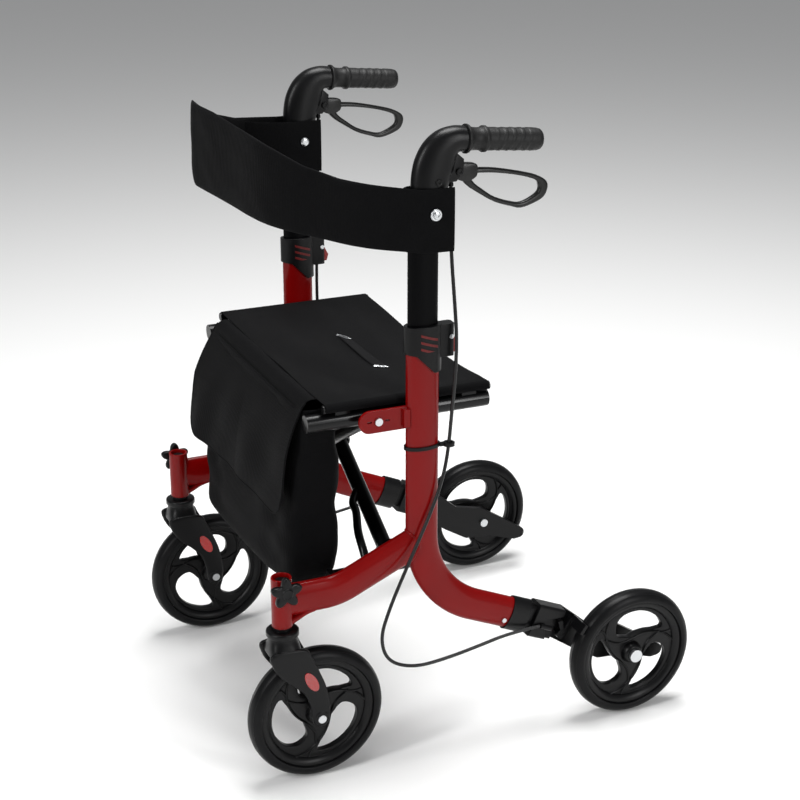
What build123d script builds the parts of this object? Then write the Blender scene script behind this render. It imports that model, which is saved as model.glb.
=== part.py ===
from build123d import *
from math import atan2, cos, degrees, pi, radians, sin, sqrt, tan
import os

# Folding walker with four wheels, in millimetres. +Z is up, the walker faces -Y and +X is
# its own left. The origin is on the floor, midway between the axles and between the sides.
os.makedirs("parts", exist_ok=True)

SIDES = (("left", 1), ("right", -1))
CLEAR = 0.3
RUN = 0.08

# Wheels
WHEEL_R = 100.0
WHEEL_BASE = 496.0
FRONT_Y = -WHEEL_BASE / 2
REAR_Y = WHEEL_BASE / 2
FRONT_X = 241.5
REAR_X = 272.0
TYRE_W = 32.0
RIM_R = 84.0
RIM_W = 24.0
HUB_R = 17.0
HUB_W = 34.0
AXLE_R = 4.0

# Side frames of oval tube
FRAME_X = 241.5
OVAL_LONG = 24.0
OVAL_WIDE = 12.5
TUBE_WALL = 2.0
UPRIGHT_Y = -84.5
UPRIGHT_TOP = 641.0
BEND_R = 138.0
TAIL_SLOPE = 23.6
TAIL_END = (66.5, 186.0)
LEG_Z = 282.0
LEG_WIDE = OVAL_WIDE - 0.8
LEG_BEND_Y = -212.0
LEG_BEND_R = 90.0

# Caster pivots
TRAIL = 46.0
HEAD_Y = FRONT_Y - TRAIL
HEAD_R = 14.5
HEAD_BOTTOM = 245.0
HEAD_TOP = 319.0
STEM_R = 9.0
KNOB_Z = 304.0
KNOB_R = 4.0
CAP_R = 23.0
CAP_TOP = 240.0
CAP_H = 9.0

# Cross brace and seat
HINGE_X = 205.0
HINGE_Z = 285.0
TOP_X = 212.0
TOP_Z = 523.0
ARM_LEFT_Y = -113.0
ARM_RIGHT_Y = -143.0
ARM_LONG = 13.0
ARM_WIDE = 11.0
ROD_R = 5.0
SLEEVE_R = 9.0
SUPPORT_R = 12.5
SUPPORT_FRONT = -244.0
SEAT_FRONT = -222.0
SEAT_REAR = 27.0
RAIL_X = 220.5
RAIL_R = 6.0
RAIL_Z = TOP_Z + SUPPORT_R + RAIL_R + 2.0

# Handles
SLEEVE_FIT = 0.1
HANDLE_LONG = OVAL_LONG - TUBE_WALL - SLEEVE_FIT
HANDLE_WIDE = OVAL_WIDE - TUBE_WALL - SLEEVE_FIT
HANDLE_BOTTOM = 470.0
HANDLE_TOP = 800.0
ELBOW_Y = -76.0
GRIP_START = (-27.0, 900.0)
GRIP_LEN = 113.0
GRIP_FALL = 4.9
LEVER_PIVOT = (-37.0, 859.0)

oval_path_start = (UPRIGHT_Y, UPRIGHT_TOP)
corner_z = TAIL_END[1] + tan(radians(TAIL_SLOPE)) * (TAIL_END[0] - UPRIGHT_Y)
tail_dir = (cos(radians(TAIL_SLOPE)), -sin(radians(TAIL_SLOPE)))
arm_angle = degrees(atan2(TOP_Z - HINGE_Z, TOP_X + HINGE_X))
arm_length = sqrt((TOP_X + HINGE_X) ** 2 + (TOP_Z - HINGE_Z) ** 2)
cross_z = HINGE_Z + HINGE_X * tan(radians(arm_angle))


def side_plane(x, y=0.0, z=0.0):
    """A plane that looks along X: its first direction is +Y and its second is +Z."""
    return Plane(origin=(x, y, z), x_dir=(0, 1, 0), z_dir=(1, 0, 0))


def tail_plane(x, s):
    """A plane across the tail tube, s millimetres beyond its end."""
    place = (x, TAIL_END[0] + s * tail_dir[0], TAIL_END[1] + s * tail_dir[1])
    return Plane(origin=place, x_dir=(1, 0, 0), z_dir=(0, tail_dir[0], tail_dir[1]))


for side, way in SIDES:
    frame_x = way * FRAME_X

    # The upright and its tail, which is one oval tube bent to the rear
    with BuildPart() as upright_core:
        with BuildLine(side_plane(frame_x)) as upright_line:
            FilletPolyline(oval_path_start, (UPRIGHT_Y, corner_z), TAIL_END, radius=BEND_R)
        with BuildSketch(Plane.XY.offset(UPRIGHT_TOP)):
            with Locations((frame_x, UPRIGHT_Y)):
                Ellipse(OVAL_WIDE, OVAL_LONG)
        sweep(path=upright_line.line)
    with BuildPart() as upright:
        with BuildLine(side_plane(frame_x)) as upright_line:
            FilletPolyline(oval_path_start, (UPRIGHT_Y, corner_z), TAIL_END, radius=BEND_R)
        with BuildSketch(Plane.XY.offset(UPRIGHT_TOP)):
            with Locations((frame_x, UPRIGHT_Y)):
                Ellipse(OVAL_WIDE, OVAL_LONG)
                Ellipse(OVAL_WIDE - TUBE_WALL, OVAL_LONG - TUBE_WALL, mode=Mode.SUBTRACT)
        sweep(path=upright_line.line)
    upright.part.label = f"upright_{side}"
    export_step(upright.part, f"parts/upright_{side}.step")

    # The front leg, welded to the upright, with the caster's head tube and its web
    leg_rise = tan(radians(TAIL_SLOPE)) * (UPRIGHT_Y - LEG_BEND_Y)
    leg_points = ((HEAD_Y + HEAD_R / 2, LEG_Z), (LEG_BEND_Y, LEG_Z), (UPRIGHT_Y, LEG_Z + leg_rise))
    with BuildPart() as front_leg:
        with BuildLine(side_plane(frame_x)) as leg_line:
            FilletPolyline(*leg_points, radius=LEG_BEND_R)
        with BuildSketch(Plane(origin=(frame_x, *leg_points[0]), x_dir=(1, 0, 0), z_dir=(0, 1, 0))):
            Ellipse(LEG_WIDE, OVAL_LONG)
            Ellipse(LEG_WIDE - TUBE_WALL, OVAL_LONG - TUBE_WALL, mode=Mode.SUBTRACT)
        sweep(path=leg_line.line)
        with BuildSketch(Plane.XY.offset(HEAD_BOTTOM)):
            with Locations((frame_x, HEAD_Y)):
                Circle(HEAD_R)
        extrude(amount=HEAD_TOP - HEAD_BOTTOM)
        with BuildSketch(side_plane(frame_x)):
            with BuildLine():
                Polyline(
                    (HEAD_Y, HEAD_BOTTOM + 3),
                    (HEAD_Y, LEG_Z),
                    (HEAD_Y + 40, LEG_Z - 20),
                    (HEAD_Y + 34, LEG_Z - OVAL_LONG),
                    (HEAD_Y + 20, HEAD_BOTTOM + 6),
                    close=True,
                )
            make_face()
        extrude(amount=3, both=True)
        with BuildSketch(Plane.XY.offset(HEAD_BOTTOM)):
            with Locations((frame_x, HEAD_Y)):
                Circle(STEM_R + RUN)
        extrude(amount=HEAD_TOP - HEAD_BOTTOM - 3, mode=Mode.SUBTRACT)
        with Locations(side_plane(way * (FRAME_X + HEAD_R), HEAD_Y, KNOB_Z)):
            Cylinder(KNOB_R + RUN, 2 * HEAD_R - 4, mode=Mode.SUBTRACT)
        add(upright_core.part, mode=Mode.SUBTRACT)
    front_leg.part.label = f"front_leg_{side}"
    export_step(front_leg.part, f"parts/front_leg_{side}.step")

    # The red plate in front of the upright that the seat rail comes down on
    with BuildPart() as seat_bracket:
        with BuildSketch(side_plane(frame_x, -141, 524)):
            SlotOverall(74, 32)
            with Locations((20, 0)):
                Rectangle(34, 32)
            with Locations((-9, 0)):
                Circle(3)
            with Locations((-22, 0), (4, 0)):
                SlotOverall(7, 2.5, mode=Mode.SUBTRACT)
        extrude(amount=2, both=True)
        with Locations((frame_x, -110, 524)):
            Box(16, 9, 26)
        add(upright_core.part, mode=Mode.SUBTRACT)
    seat_bracket.part.label = f"seat_bracket_{side}"
    export_step(seat_bracket.part, f"parts/seat_bracket_{side}.step")

    # The collar round the top of the upright, with a box for the latch at the rear
    collar_bottom = 587.0
    collar_top = 653.0
    with BuildPart() as collar:
        with BuildSketch(Plane.XY.offset(collar_bottom)):
            with Locations((frame_x, UPRIGHT_Y)):
                Ellipse(OVAL_WIDE + 4, OVAL_LONG + 3)
        extrude(amount=collar_top - collar_bottom)
        with Locations((frame_x, UPRIGHT_Y + OVAL_LONG + 7, 629)):
            Box(18, 26, 46)
        fillet(collar.edges().filter_by(Axis.Z).group_by(Axis.Y)[-1], radius=4)
        with BuildSketch(side_plane(frame_x)):
            with BuildLine():
                Polyline(
                    (UPRIGHT_Y - 40, collar_bottom - 5),
                    (UPRIGHT_Y - 40, 617),
                    (UPRIGHT_Y - 14, 613),
                    (UPRIGHT_Y + 12, collar_bottom),
                    (UPRIGHT_Y + 12, collar_bottom - 5),
                    close=True,
                )
            make_face()
        extrude(amount=30, both=True, mode=Mode.SUBTRACT)
        with BuildSketch(Plane.XY.offset(collar_bottom - 1)):
            with Locations((frame_x, UPRIGHT_Y)):
                Ellipse(HANDLE_WIDE + CLEAR, HANDLE_LONG + CLEAR)
        extrude(amount=collar_top - collar_bottom + 2, mode=Mode.SUBTRACT)
        with Locations((frame_x, UPRIGHT_Y + OVAL_LONG + 14, 622)):
            Box(10.6, 14, 40, mode=Mode.SUBTRACT)
        add(upright_core.part, mode=Mode.SUBTRACT)
    collar.part.label = f"collar_{side}"
    export_step(collar.part, f"parts/collar_{side}.step")

    # Three slanting stripes raised on both flanks of the collar
    with BuildPart() as collar_stripes:
        with BuildSketch(Plane.XY.offset(618)):
            with Locations((frame_x, UPRIGHT_Y)):
                Ellipse(OVAL_WIDE + 4.6, OVAL_LONG + 3.6)
                Ellipse(OVAL_WIDE + 4, OVAL_LONG + 3, mode=Mode.SUBTRACT)
        extrude(amount=34)
        with BuildSketch(side_plane(frame_x)):
            for stripe in range(3):
                with BuildLine():
                    stripe_z = 644 - 9.5 * stripe
                    Polyline(
                        (UPRIGHT_Y - 9, stripe_z),
                        (UPRIGHT_Y + 17, stripe_z - 9),
                        (UPRIGHT_Y + 17, stripe_z - 12.5),
                        (UPRIGHT_Y - 9, stripe_z - 3.5),
                        close=True,
                    )
                make_face()
        extrude(amount=30, both=True, mode=Mode.INTERSECT)
    collar_stripes.part.label = f"collar_stripes_{side}"
    export_step(collar_stripes.part, f"parts/collar_stripes_{side}.step")

    # The latch lever that lets the handle slide, hinged in the collar's box
    latch_y = UPRIGHT_Y + OVAL_LONG + 15
    latch_z = 634.0
    with BuildPart() as latch_lever:
        with BuildSketch(side_plane(frame_x)):
            with Locations((latch_y, latch_z)):
                Circle(4)
            with BuildLine():
                Polyline(
                    (latch_y - 4, latch_z),
                    (latch_y + 3, latch_z + 3),
                    (latch_y + 12, latch_z - 14),
                    (latch_y + 9, latch_z - 24),
                    (latch_y + 3, latch_z - 24),
                    (latch_y - 3, latch_z - 10),
                    close=True,
                )
            make_face()
            with Locations((latch_y, latch_z)):
                Circle(2, mode=Mode.SUBTRACT)
        extrude(amount=5, both=True)
    latch_lever.part.label = f"latch_lever_{side}"
    export_step(latch_lever.part, f"parts/latch_lever_{side}.step")

    # The latch's rivet and the bolt heads of the seat bracket and the tail
    with BuildPart() as frame_screws:
        with Locations(side_plane(frame_x, latch_y, latch_z)):
            Cylinder(2 - RUN, 19)
        for end in (-1, 1):
            with Locations(side_plane(frame_x + end * 9.7, latch_y, latch_z)):
                Cylinder(3.2, 1.4)
        add(collar.part, mode=Mode.SUBTRACT)
        with Locations(side_plane(way * (FRAME_X + 3.6), -150, 524)):
            Cylinder(5.5, 3.2)
        tail_screw = tail_plane(frame_x, -21).origin
        with Locations(side_plane(way * (FRAME_X + OVAL_WIDE - 0.6), tail_screw.Y - 4, tail_screw.Z - 9)):
            Cylinder(3.5, 4)
        add(upright.part, mode=Mode.SUBTRACT)
    frame_screws.part.label = f"frame_screws_{side}"
    export_step(frame_screws.part, f"parts/frame_screws_{side}.step")

    # The socket on the tail and the neck behind it
    with BuildPart() as rear_socket:
        with BuildSketch(tail_plane(frame_x, -13)):
            Ellipse(OVAL_WIDE + 2, OVAL_LONG + 2.5)
        extrude(amount=31)
        with BuildSketch(tail_plane(frame_x, 18)):
            RectangleRounded(18, 38, 5)
        extrude(amount=11)
        add(upright_core.part, mode=Mode.SUBTRACT)
    rear_socket.part.label = f"rear_socket_{side}"
    export_step(rear_socket.part, f"parts/rear_socket_{side}.step")

    # The rear bracket: a brake housing, open on its outer and rear sides for the brake arm, and
    # a plate that carries the axle and ends in the kerb tab
    housing_s = 29.0
    housing_len = 46.0
    arm_pivot = (140.0, 141.0)
    plate_x = frame_x - way * 9.0
    with BuildPart() as rear_bracket:
        with BuildSketch(tail_plane(frame_x, housing_s)):
            RectangleRounded(30, 52, 5)
        extrude(amount=housing_len)
        with BuildSketch(side_plane(frame_x + way * 9)):
            with Locations((140, 149)):
                Rectangle(60, 44)
        extrude(amount=6.4, both=True, mode=Mode.SUBTRACT)
        with BuildSketch(side_plane(plate_x)) as plate_face:
            with BuildLine():
                Polyline(
                    (118, 190), (152, 176), (196, 138), (248, 126), (300, 92), (330, 72),
                    (328, 58), (310, 56), (262, 72), (214, 76), (174, 100), (134, 128),
                    (106, 146), close=True,
                )
            make_face()
            fillet(plate_face.vertices(), radius=9)
        extrude(amount=5, both=True)
        with BuildSketch(side_plane(plate_x)):
            with Locations(arm_pivot):
                Circle(4 - RUN)
        extrude(amount=way * 22)
        with Locations(side_plane(plate_x, REAR_Y, WHEEL_R)):
            Cylinder(AXLE_R + RUN, 30, mode=Mode.SUBTRACT)
        adjuster = Plane(origin=(way * 259.6, 100.8, 166.1), z_dir=(0, tail_dir[0], tail_dir[1]))
        with Locations(adjuster):
            Cylinder(3.6, 20, align=(Align.CENTER, Align.CENTER, Align.MIN))
    rear_bracket.part.label = f"rear_bracket_{side}"
    export_step(rear_bracket.part, f"parts/rear_bracket_{side}.step")

    # The rear axle bolt, through the plate and the wheel
    with BuildPart() as rear_axle:
        bolt_in = FRAME_X - 16.0
        bolt_out = REAR_X + HUB_W / 2 + 6.0
        with Locations(side_plane(way * (bolt_in + bolt_out) / 2, REAR_Y, WHEEL_R)):
            Cylinder(AXLE_R, bolt_out - bolt_in)
        with Locations(side_plane(way * (bolt_in - 0.2), REAR_Y, WHEEL_R)):
            Cylinder(7, 3.6)
        with Locations(side_plane(way * (REAR_X + HUB_W / 2 + 3.5), REAR_Y, WHEEL_R)):
            Cylinder(10, 5)
    rear_axle.part.label = f"rear_axle_{side}"
    export_step(rear_axle.part, f"parts/rear_axle_{side}.step")

    # The brake arm: a lever in the housing with a pad over the tyre's tread
    pad_angle = radians(146.0)
    pad_r = WHEEL_R + 6.5
    pad_y = REAR_Y + pad_r * cos(pad_angle)
    pad_z = WHEEL_R + pad_r * sin(pad_angle)
    with BuildPart() as brake_arm:
        with BuildSketch(side_plane(frame_x + way * 9)):
            with Locations(arm_pivot):
                Circle(7.5)
                Circle(4, mode=Mode.SUBTRACT)
            with BuildLine():
                Polyline((arm_pivot[0] + 3, arm_pivot[1] + 6), (pad_y - 4, pad_z + 6), (pad_y + 2, pad_z - 2),
                         (arm_pivot[0] + 7, arm_pivot[1] - 3), close=True)
            make_face()
            with BuildLine():
                Polyline((arm_pivot[0] - 2, arm_pivot[1] + 7), (arm_pivot[0] + 4, arm_pivot[1] + 6),
                         (arm_pivot[0] + 2, arm_pivot[1] + 22), (arm_pivot[0] - 6, arm_pivot[1] + 22),
                         close=True)
            make_face()
            with Locations(arm_pivot):
                Circle(4, mode=Mode.SUBTRACT)
        extrude(amount=4, both=True)
        pad_plane = Plane(origin=(way * REAR_X - way * 3, pad_y, pad_z), x_dir=(1, 0, 0),
                          z_dir=(0, cos(pad_angle), sin(pad_angle)))
        with Locations(pad_plane):
            Box(TYRE_W + 4, 16, 5)
    brake_arm.part.label = f"brake_arm_{side}"
    export_step(brake_arm.part, f"parts/brake_arm_{side}.step")

    # Black fittings: the rod that the cross brace hinges on, with its two lugs under the front
    # leg, and the clip round the upright with a loop for the brake cable
    rod_front = -214.0
    rod_rear = -76.0
    clip_z = 478.0
    loop_y = UPRIGHT_Y + OVAL_LONG + 13
    with BuildPart() as frame_fittings:
        with BuildSketch(Plane.XY.offset(clip_z - 2.5)):
            with Locations((frame_x, UPRIGHT_Y)):
                Ellipse(OVAL_WIDE + 2.5, OVAL_LONG + 2.5)
            with Locations((frame_x + way * 9, loop_y)):
                Circle(8)
                Circle(4.5, mode=Mode.SUBTRACT)
            with Locations((frame_x + way * 6, loop_y - 9)):
                Rectangle(5, 8)
        extrude(amount=5)
        with Locations(Plane(origin=(way * HINGE_X, rod_front, HINGE_Z), z_dir=(0, 1, 0))):
            Cylinder(ROD_R, rod_rear - rod_front, align=(Align.CENTER, Align.CENTER, Align.MIN))
        for lug_y in (rod_front + 4, rod_rear - 4):
            with Locations((way * (HINGE_X + 18), lug_y, HINGE_Z + 2)):
                Box(38, 8, 20)
        add(upright_core.part, mode=Mode.SUBTRACT)
        add(front_leg.part, mode=Mode.SUBTRACT)
    frame_fittings.part.label = f"frame_fittings_{side}"
    export_step(frame_fittings.part, f"parts/frame_fittings_{side}.step")

    # The handle tube, which slides in the upright
    with BuildPart() as handle_tube:
        with BuildSketch(Plane.XY.offset(HANDLE_BOTTOM)):
            with Locations((frame_x, UPRIGHT_Y)):
                Ellipse(HANDLE_WIDE, HANDLE_LONG)
                Ellipse(HANDLE_WIDE - 1.5, HANDLE_LONG - 1.5, mode=Mode.SUBTRACT)
        extrude(amount=HANDLE_TOP - HANDLE_BOTTOM)
    handle_tube.part.label = f"handle_tube_{side}"
    export_step(handle_tube.part, f"parts/handle_tube_{side}.step")

    # The elbow, lofted from the oval handle tube round to the grip
    with BuildPart() as elbow:
        with BuildSketch(Plane.XY.offset(HANDLE_TOP)):
            with Locations((frame_x, ELBOW_Y)):
                Ellipse(16.5, 25)
        extrude(amount=38)
        elbow_stations = (
            (ELBOW_Y, HANDLE_TOP + 38, 90.0, 25, 16.5),
            (ELBOW_Y, HANDLE_TOP + 48, 88.0, 24.5, 16.5),
            (ELBOW_Y + 2.5, HANDLE_TOP + 64, 76.0, 22.0, 16.5),
            (ELBOW_Y + 15, HANDLE_TOP + 88, 45.0, 20.0, 16.5),
            (ELBOW_Y + 32, HANDLE_TOP + 99, 6.0, 17.5, 16.5),
            (*GRIP_START, -GRIP_FALL, 16.5, 16.5),
        )
        for station_y, station_z, turn, long_r, wide_r in elbow_stations:
            station_dir = (0, cos(radians(turn)), sin(radians(turn)))
            place = Plane(origin=(frame_x, station_y, station_z), x_dir=(1, 0, 0), z_dir=station_dir)
            with BuildSketch(place):
                Ellipse(wide_r, long_r)
        loft()
        with BuildSketch(side_plane(frame_x)):
            with BuildLine():
                Polyline((-60, 846), (-40, 846), (-30, 856), (-30, 876), (-40, 884), (-60, 884), close=True)
            make_face()
        extrude(amount=9, both=True)
        with BuildSketch(side_plane(frame_x)):
            with Locations((-20, 860)):
                Rectangle(44, 34)
        extrude(amount=5.3, both=True, mode=Mode.SUBTRACT)
        with Locations((frame_x, -45, 844.8)):
            Cylinder(3.6, 12)
        with Locations((frame_x + way * 17, -42, 898), (frame_x - way * 17, -42, 898)):
            Box(3, 30, 3.6, mode=Mode.SUBTRACT)
        with Locations(side_plane(frame_x, *LEVER_PIVOT)):
            Cylinder(2.5, 40, mode=Mode.SUBTRACT)
    elbow.part.label = f"elbow_{side}"
    export_step(elbow.part, f"parts/elbow_{side}.step")

    # The grip, a turned sleeve with a flange, a waist and a ring
    with BuildPart() as grip:
        grip_plane = Plane(
            origin=(frame_x, *GRIP_START),
            x_dir=(0, sin(radians(GRIP_FALL)), cos(radians(GRIP_FALL))),
            z_dir=(way, 0, 0),
        )
        along = -way
        with BuildSketch(grip_plane) as grip_profile:
            with BuildLine():
                grip_profile_points = (
                    (0, 0), (19, 0), (19.5, 3), (17, 6), (15, 12), (15, 24), (17.5, 26), (17.5, 30),
                    (15.5, 32), (15.5, 104), (13, GRIP_LEN), (0, GRIP_LEN),
                )
                Polyline([(r, along * s) for r, s in grip_profile_points], close=True)
            make_face()
        revolve(axis=Axis(grip_plane.origin, grip_plane.y_dir))
    grip.part.label = f"grip_{side}"
    export_step(grip.part, f"parts/grip_{side}.step")

    # The bolt that holds the backrest and the elbow's screws
    bolt_y = -76.0
    bolt_z = 808.0
    with BuildPart() as handle_bolts:
        with Locations(side_plane(way * (FRAME_X + 22.5), bolt_y, bolt_z)):
            Cylinder(8, 3)
        with Locations(side_plane(way * (FRAME_X + 25.5), bolt_y, bolt_z)):
            Cylinder(5, 4)
        with Locations(side_plane(way * (FRAME_X + 18), bolt_y, bolt_z)):
            Cylinder(3, 10)
        with Locations(side_plane(way * (FRAME_X - 18), bolt_y, bolt_z)):
            Cylinder(3, 10)
        with Locations(side_plane(way * (FRAME_X - 22.5), bolt_y, bolt_z)):
            Cylinder(6.5, 3.6)
        with Locations(side_plane(frame_x, *LEVER_PIVOT)):
            Cylinder(2.5 - RUN, 21)
        for end in (-1, 1):
            with Locations(side_plane(frame_x + end * 10.4, *LEVER_PIVOT)):
                Cylinder(5, 2.6)
        with Locations(side_plane(way * (FRAME_X + 16.7), -70, 849)):
            Cylinder(4.5, 2.4)
        add(elbow.part, mode=Mode.SUBTRACT)
    handle_bolts.part.label = f"handle_bolts_{side}"
    export_step(handle_bolts.part, f"parts/handle_bolts_{side}.step")

    # The brake lever: a closed loop that the fingers pull up or push down
    with BuildPart() as brake_lever:
        with BuildSketch(side_plane(frame_x)) as lever_face:
            with BuildLine():
                Spline((-34, 869), (-8, 867), (32, 864), (70, 856), (97, 848), (104, 838), (92, 818),
                       (60, 799), (38, 803), (2, 813), (-8, 822), (-18, 842), (-40, 850),
                       periodic=True)
            make_face()
            with BuildLine():
                Spline((-6, 858), (32, 856), (68, 848), (91, 841), (94, 832), (84, 818), (60, 808),
                       (38, 812), (8, 822), (0, 836), (-10, 848), periodic=True)
            make_face(mode=Mode.SUBTRACT)
            with Locations(LEVER_PIVOT):
                Circle(2.5, mode=Mode.SUBTRACT)
            with Locations((97, 839)):
                Circle(2, mode=Mode.SUBTRACT)
        extrude(amount=5, both=True)
    brake_lever.part.label = f"brake_lever_{side}"
    export_step(brake_lever.part, f"parts/brake_lever_{side}.step")

    # The five-lobed knob that clamps the caster's stem
    screw_tip = STEM_R + 2 * CLEAR
    with BuildPart() as star_knob:
        with BuildSketch(side_plane(way * (FRAME_X + HEAD_R + 6))):
            with Locations((HEAD_Y, KNOB_Z)):
                Circle(11)
                with PolarLocations(14, 5, start_angle=90):
                    SlotOverall(19, 9)
        extrude(amount=5, both=True)
        with Locations(side_plane(way * (FRAME_X + HEAD_R + 12), HEAD_Y, KNOB_Z)):
            Cylinder(7, 3)
        with Locations(side_plane(way * (FRAME_X + (screw_tip + HEAD_R + 6) / 2), HEAD_Y, KNOB_Z)):
            Cylinder(KNOB_R, HEAD_R + 6 - screw_tip)
    star_knob.part.label = f"star_knob_{side}"
    export_step(star_knob.part, f"parts/star_knob_{side}.step")

    # The fork with its stem: a round cap, a swelling neck and two raked legs down to the axle
    wheel_x = way * FRONT_X
    fork_gap = TYRE_W / 2 + 2.5
    leg_t = 7.0
    with BuildPart() as caster_fork:
        with Locations((frame_x, HEAD_Y, CAP_TOP)):
            Cylinder(CAP_R, CAP_H, align=(Align.CENTER, Align.CENTER, Align.MAX))
        with BuildSketch(Plane.XY.offset(CAP_TOP - CAP_H)):
            with Locations((frame_x, HEAD_Y)):
                Circle(CAP_R - 2)
        with BuildSketch(Plane.XY.offset(CAP_TOP - 26)):
            with Locations((wheel_x, HEAD_Y)):
                RectangleRounded(2 * (fork_gap + leg_t), 46, 20)
        loft()
        with BuildSketch(side_plane(wheel_x)) as fork_side:
            with BuildLine():
                Polyline(
                    (HEAD_Y - 23, CAP_TOP - 26), (HEAD_Y - 25, CAP_TOP - 44), (HEAD_Y - 10, CAP_TOP - 66),
                    (FRONT_Y - 24, WHEEL_R + 42), (FRONT_Y - 14, WHEEL_R + 17), (FRONT_Y - 12, WHEEL_R - 4),
                    (FRONT_Y, WHEEL_R - 14), (FRONT_Y + 12, WHEEL_R - 6), (FRONT_Y + 14, WHEEL_R + 18),
                    (FRONT_Y + 8, WHEEL_R + 48), (FRONT_Y - 1, WHEEL_R + 74), (FRONT_Y - 11, WHEEL_R + 100),
                    (HEAD_Y + 23, CAP_TOP - 26), close=True,
                )
            make_face()
            fillet(fork_side.vertices(), radius=5)
        extrude(amount=fork_gap + leg_t, both=True)
        with Locations(side_plane(wheel_x, FRONT_Y, WHEEL_R)):
            Cylinder(WHEEL_R + 5, 2 * fork_gap, mode=Mode.SUBTRACT)
            Cylinder(AXLE_R + RUN, 80, mode=Mode.SUBTRACT)
        with Locations((frame_x, HEAD_Y, CAP_TOP)):
            Cylinder(STEM_R, HEAD_TOP - 4 - CAP_TOP, align=(Align.CENTER, Align.CENTER, Align.MIN))
            Cylinder(12, 4.7, align=(Align.CENTER, Align.CENTER, Align.MIN))
    caster_fork.part.label = f"caster_fork_{side}"
    export_step(caster_fork.part, f"parts/caster_fork_{side}.step")

    # Oval reflectors on both legs of the fork
    with BuildPart() as reflectors:
        for face in (-1, 1):
            reflector_place = side_plane(wheel_x + face * (fork_gap + leg_t + 0.8), -262, 162)
            with BuildSketch(reflector_place):
                Ellipse(17, 7.5, rotation=-62)
            extrude(amount=0.8, both=True)
    reflectors.part.label = f"reflectors_{side}"
    export_step(reflectors.part, f"parts/reflectors_{side}.step")

    # The front axle bolt
    with BuildPart() as front_axle:
        with Locations(side_plane(wheel_x, FRONT_Y, WHEEL_R)):
            Cylinder(AXLE_R, 2 * (fork_gap + leg_t))
        for face in (-1, 1):
            with Locations(side_plane(wheel_x + face * (fork_gap + leg_t + 1.7), FRONT_Y, WHEEL_R)):
                Cylinder(6, 3.4)
    front_axle.part.label = f"front_axle_{side}"
    export_step(front_axle.part, f"parts/front_axle_{side}.step")

    # Wheels: a rim with three swirled spokes, and a tyre pressed on it. All four wheels are
    # alike seen from outside, so the spoke is turned over with the side.
    with BuildSketch() as spoke:
        with BuildLine():
            ThreePointArc((way * 6, -12), (way * 36, -24), (way * 56, -52))
            Line((way * 56, -52), (way * 74, -22))
            ThreePointArc((way * 74, -22), (way * 44, 0), (way * 10, 8))
            Line((way * 10, 8), (way * 6, -12))
        make_face()
    for end, hub_x, hub_y in (("front", way * FRONT_X, FRONT_Y), ("rear", way * REAR_X, REAR_Y)):
        wheel_plane = side_plane(hub_x, hub_y, WHEEL_R)
        rim_turn = Plane(origin=wheel_plane.origin, x_dir=(0, 0, 1), z_dir=(0, -1, 0))
        with BuildPart() as rim:
            with BuildSketch(wheel_plane):
                Circle(HUB_R)
            extrude(amount=HUB_W / 2, both=True)
            with BuildSketch(wheel_plane):
                Circle(RIM_R)
                Circle(72, mode=Mode.SUBTRACT)
            extrude(amount=RIM_W / 2, both=True)
            with BuildSketch(wheel_plane):
                with PolarLocations(0, 3):
                    add(spoke.sketch)
                Circle(76, mode=Mode.INTERSECT)
            extrude(amount=6, both=True)
            with BuildSketch(wheel_plane):
                Circle(AXLE_R + RUN)
            extrude(amount=HUB_W, both=True, mode=Mode.SUBTRACT)
        rim.part.label = f"{end}_rim_{side}"
        export_step(rim.part, f"parts/{end}_rim_{side}.step")
        with BuildPart() as tyre:
            with BuildSketch(rim_turn):
                with BuildLine():
                    tyre_half = TYRE_W / 2
                    Line((RIM_R, -tyre_half + 2), (RIM_R, tyre_half - 2))
                    Line((RIM_R, tyre_half - 2), (RIM_R + 3, tyre_half))
                    ThreePointArc((RIM_R + 3, tyre_half), (WHEEL_R, 0), (RIM_R + 3, -tyre_half))
                    Line((RIM_R + 3, -tyre_half), (RIM_R, -tyre_half + 2))
                make_face()
            revolve(axis=Axis(wheel_plane.origin, (1, 0, 0)))
        tyre.part.label = f"{end}_tyre_{side}"
        export_step(tyre.part, f"parts/{end}_tyre_{side}.step")

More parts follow.
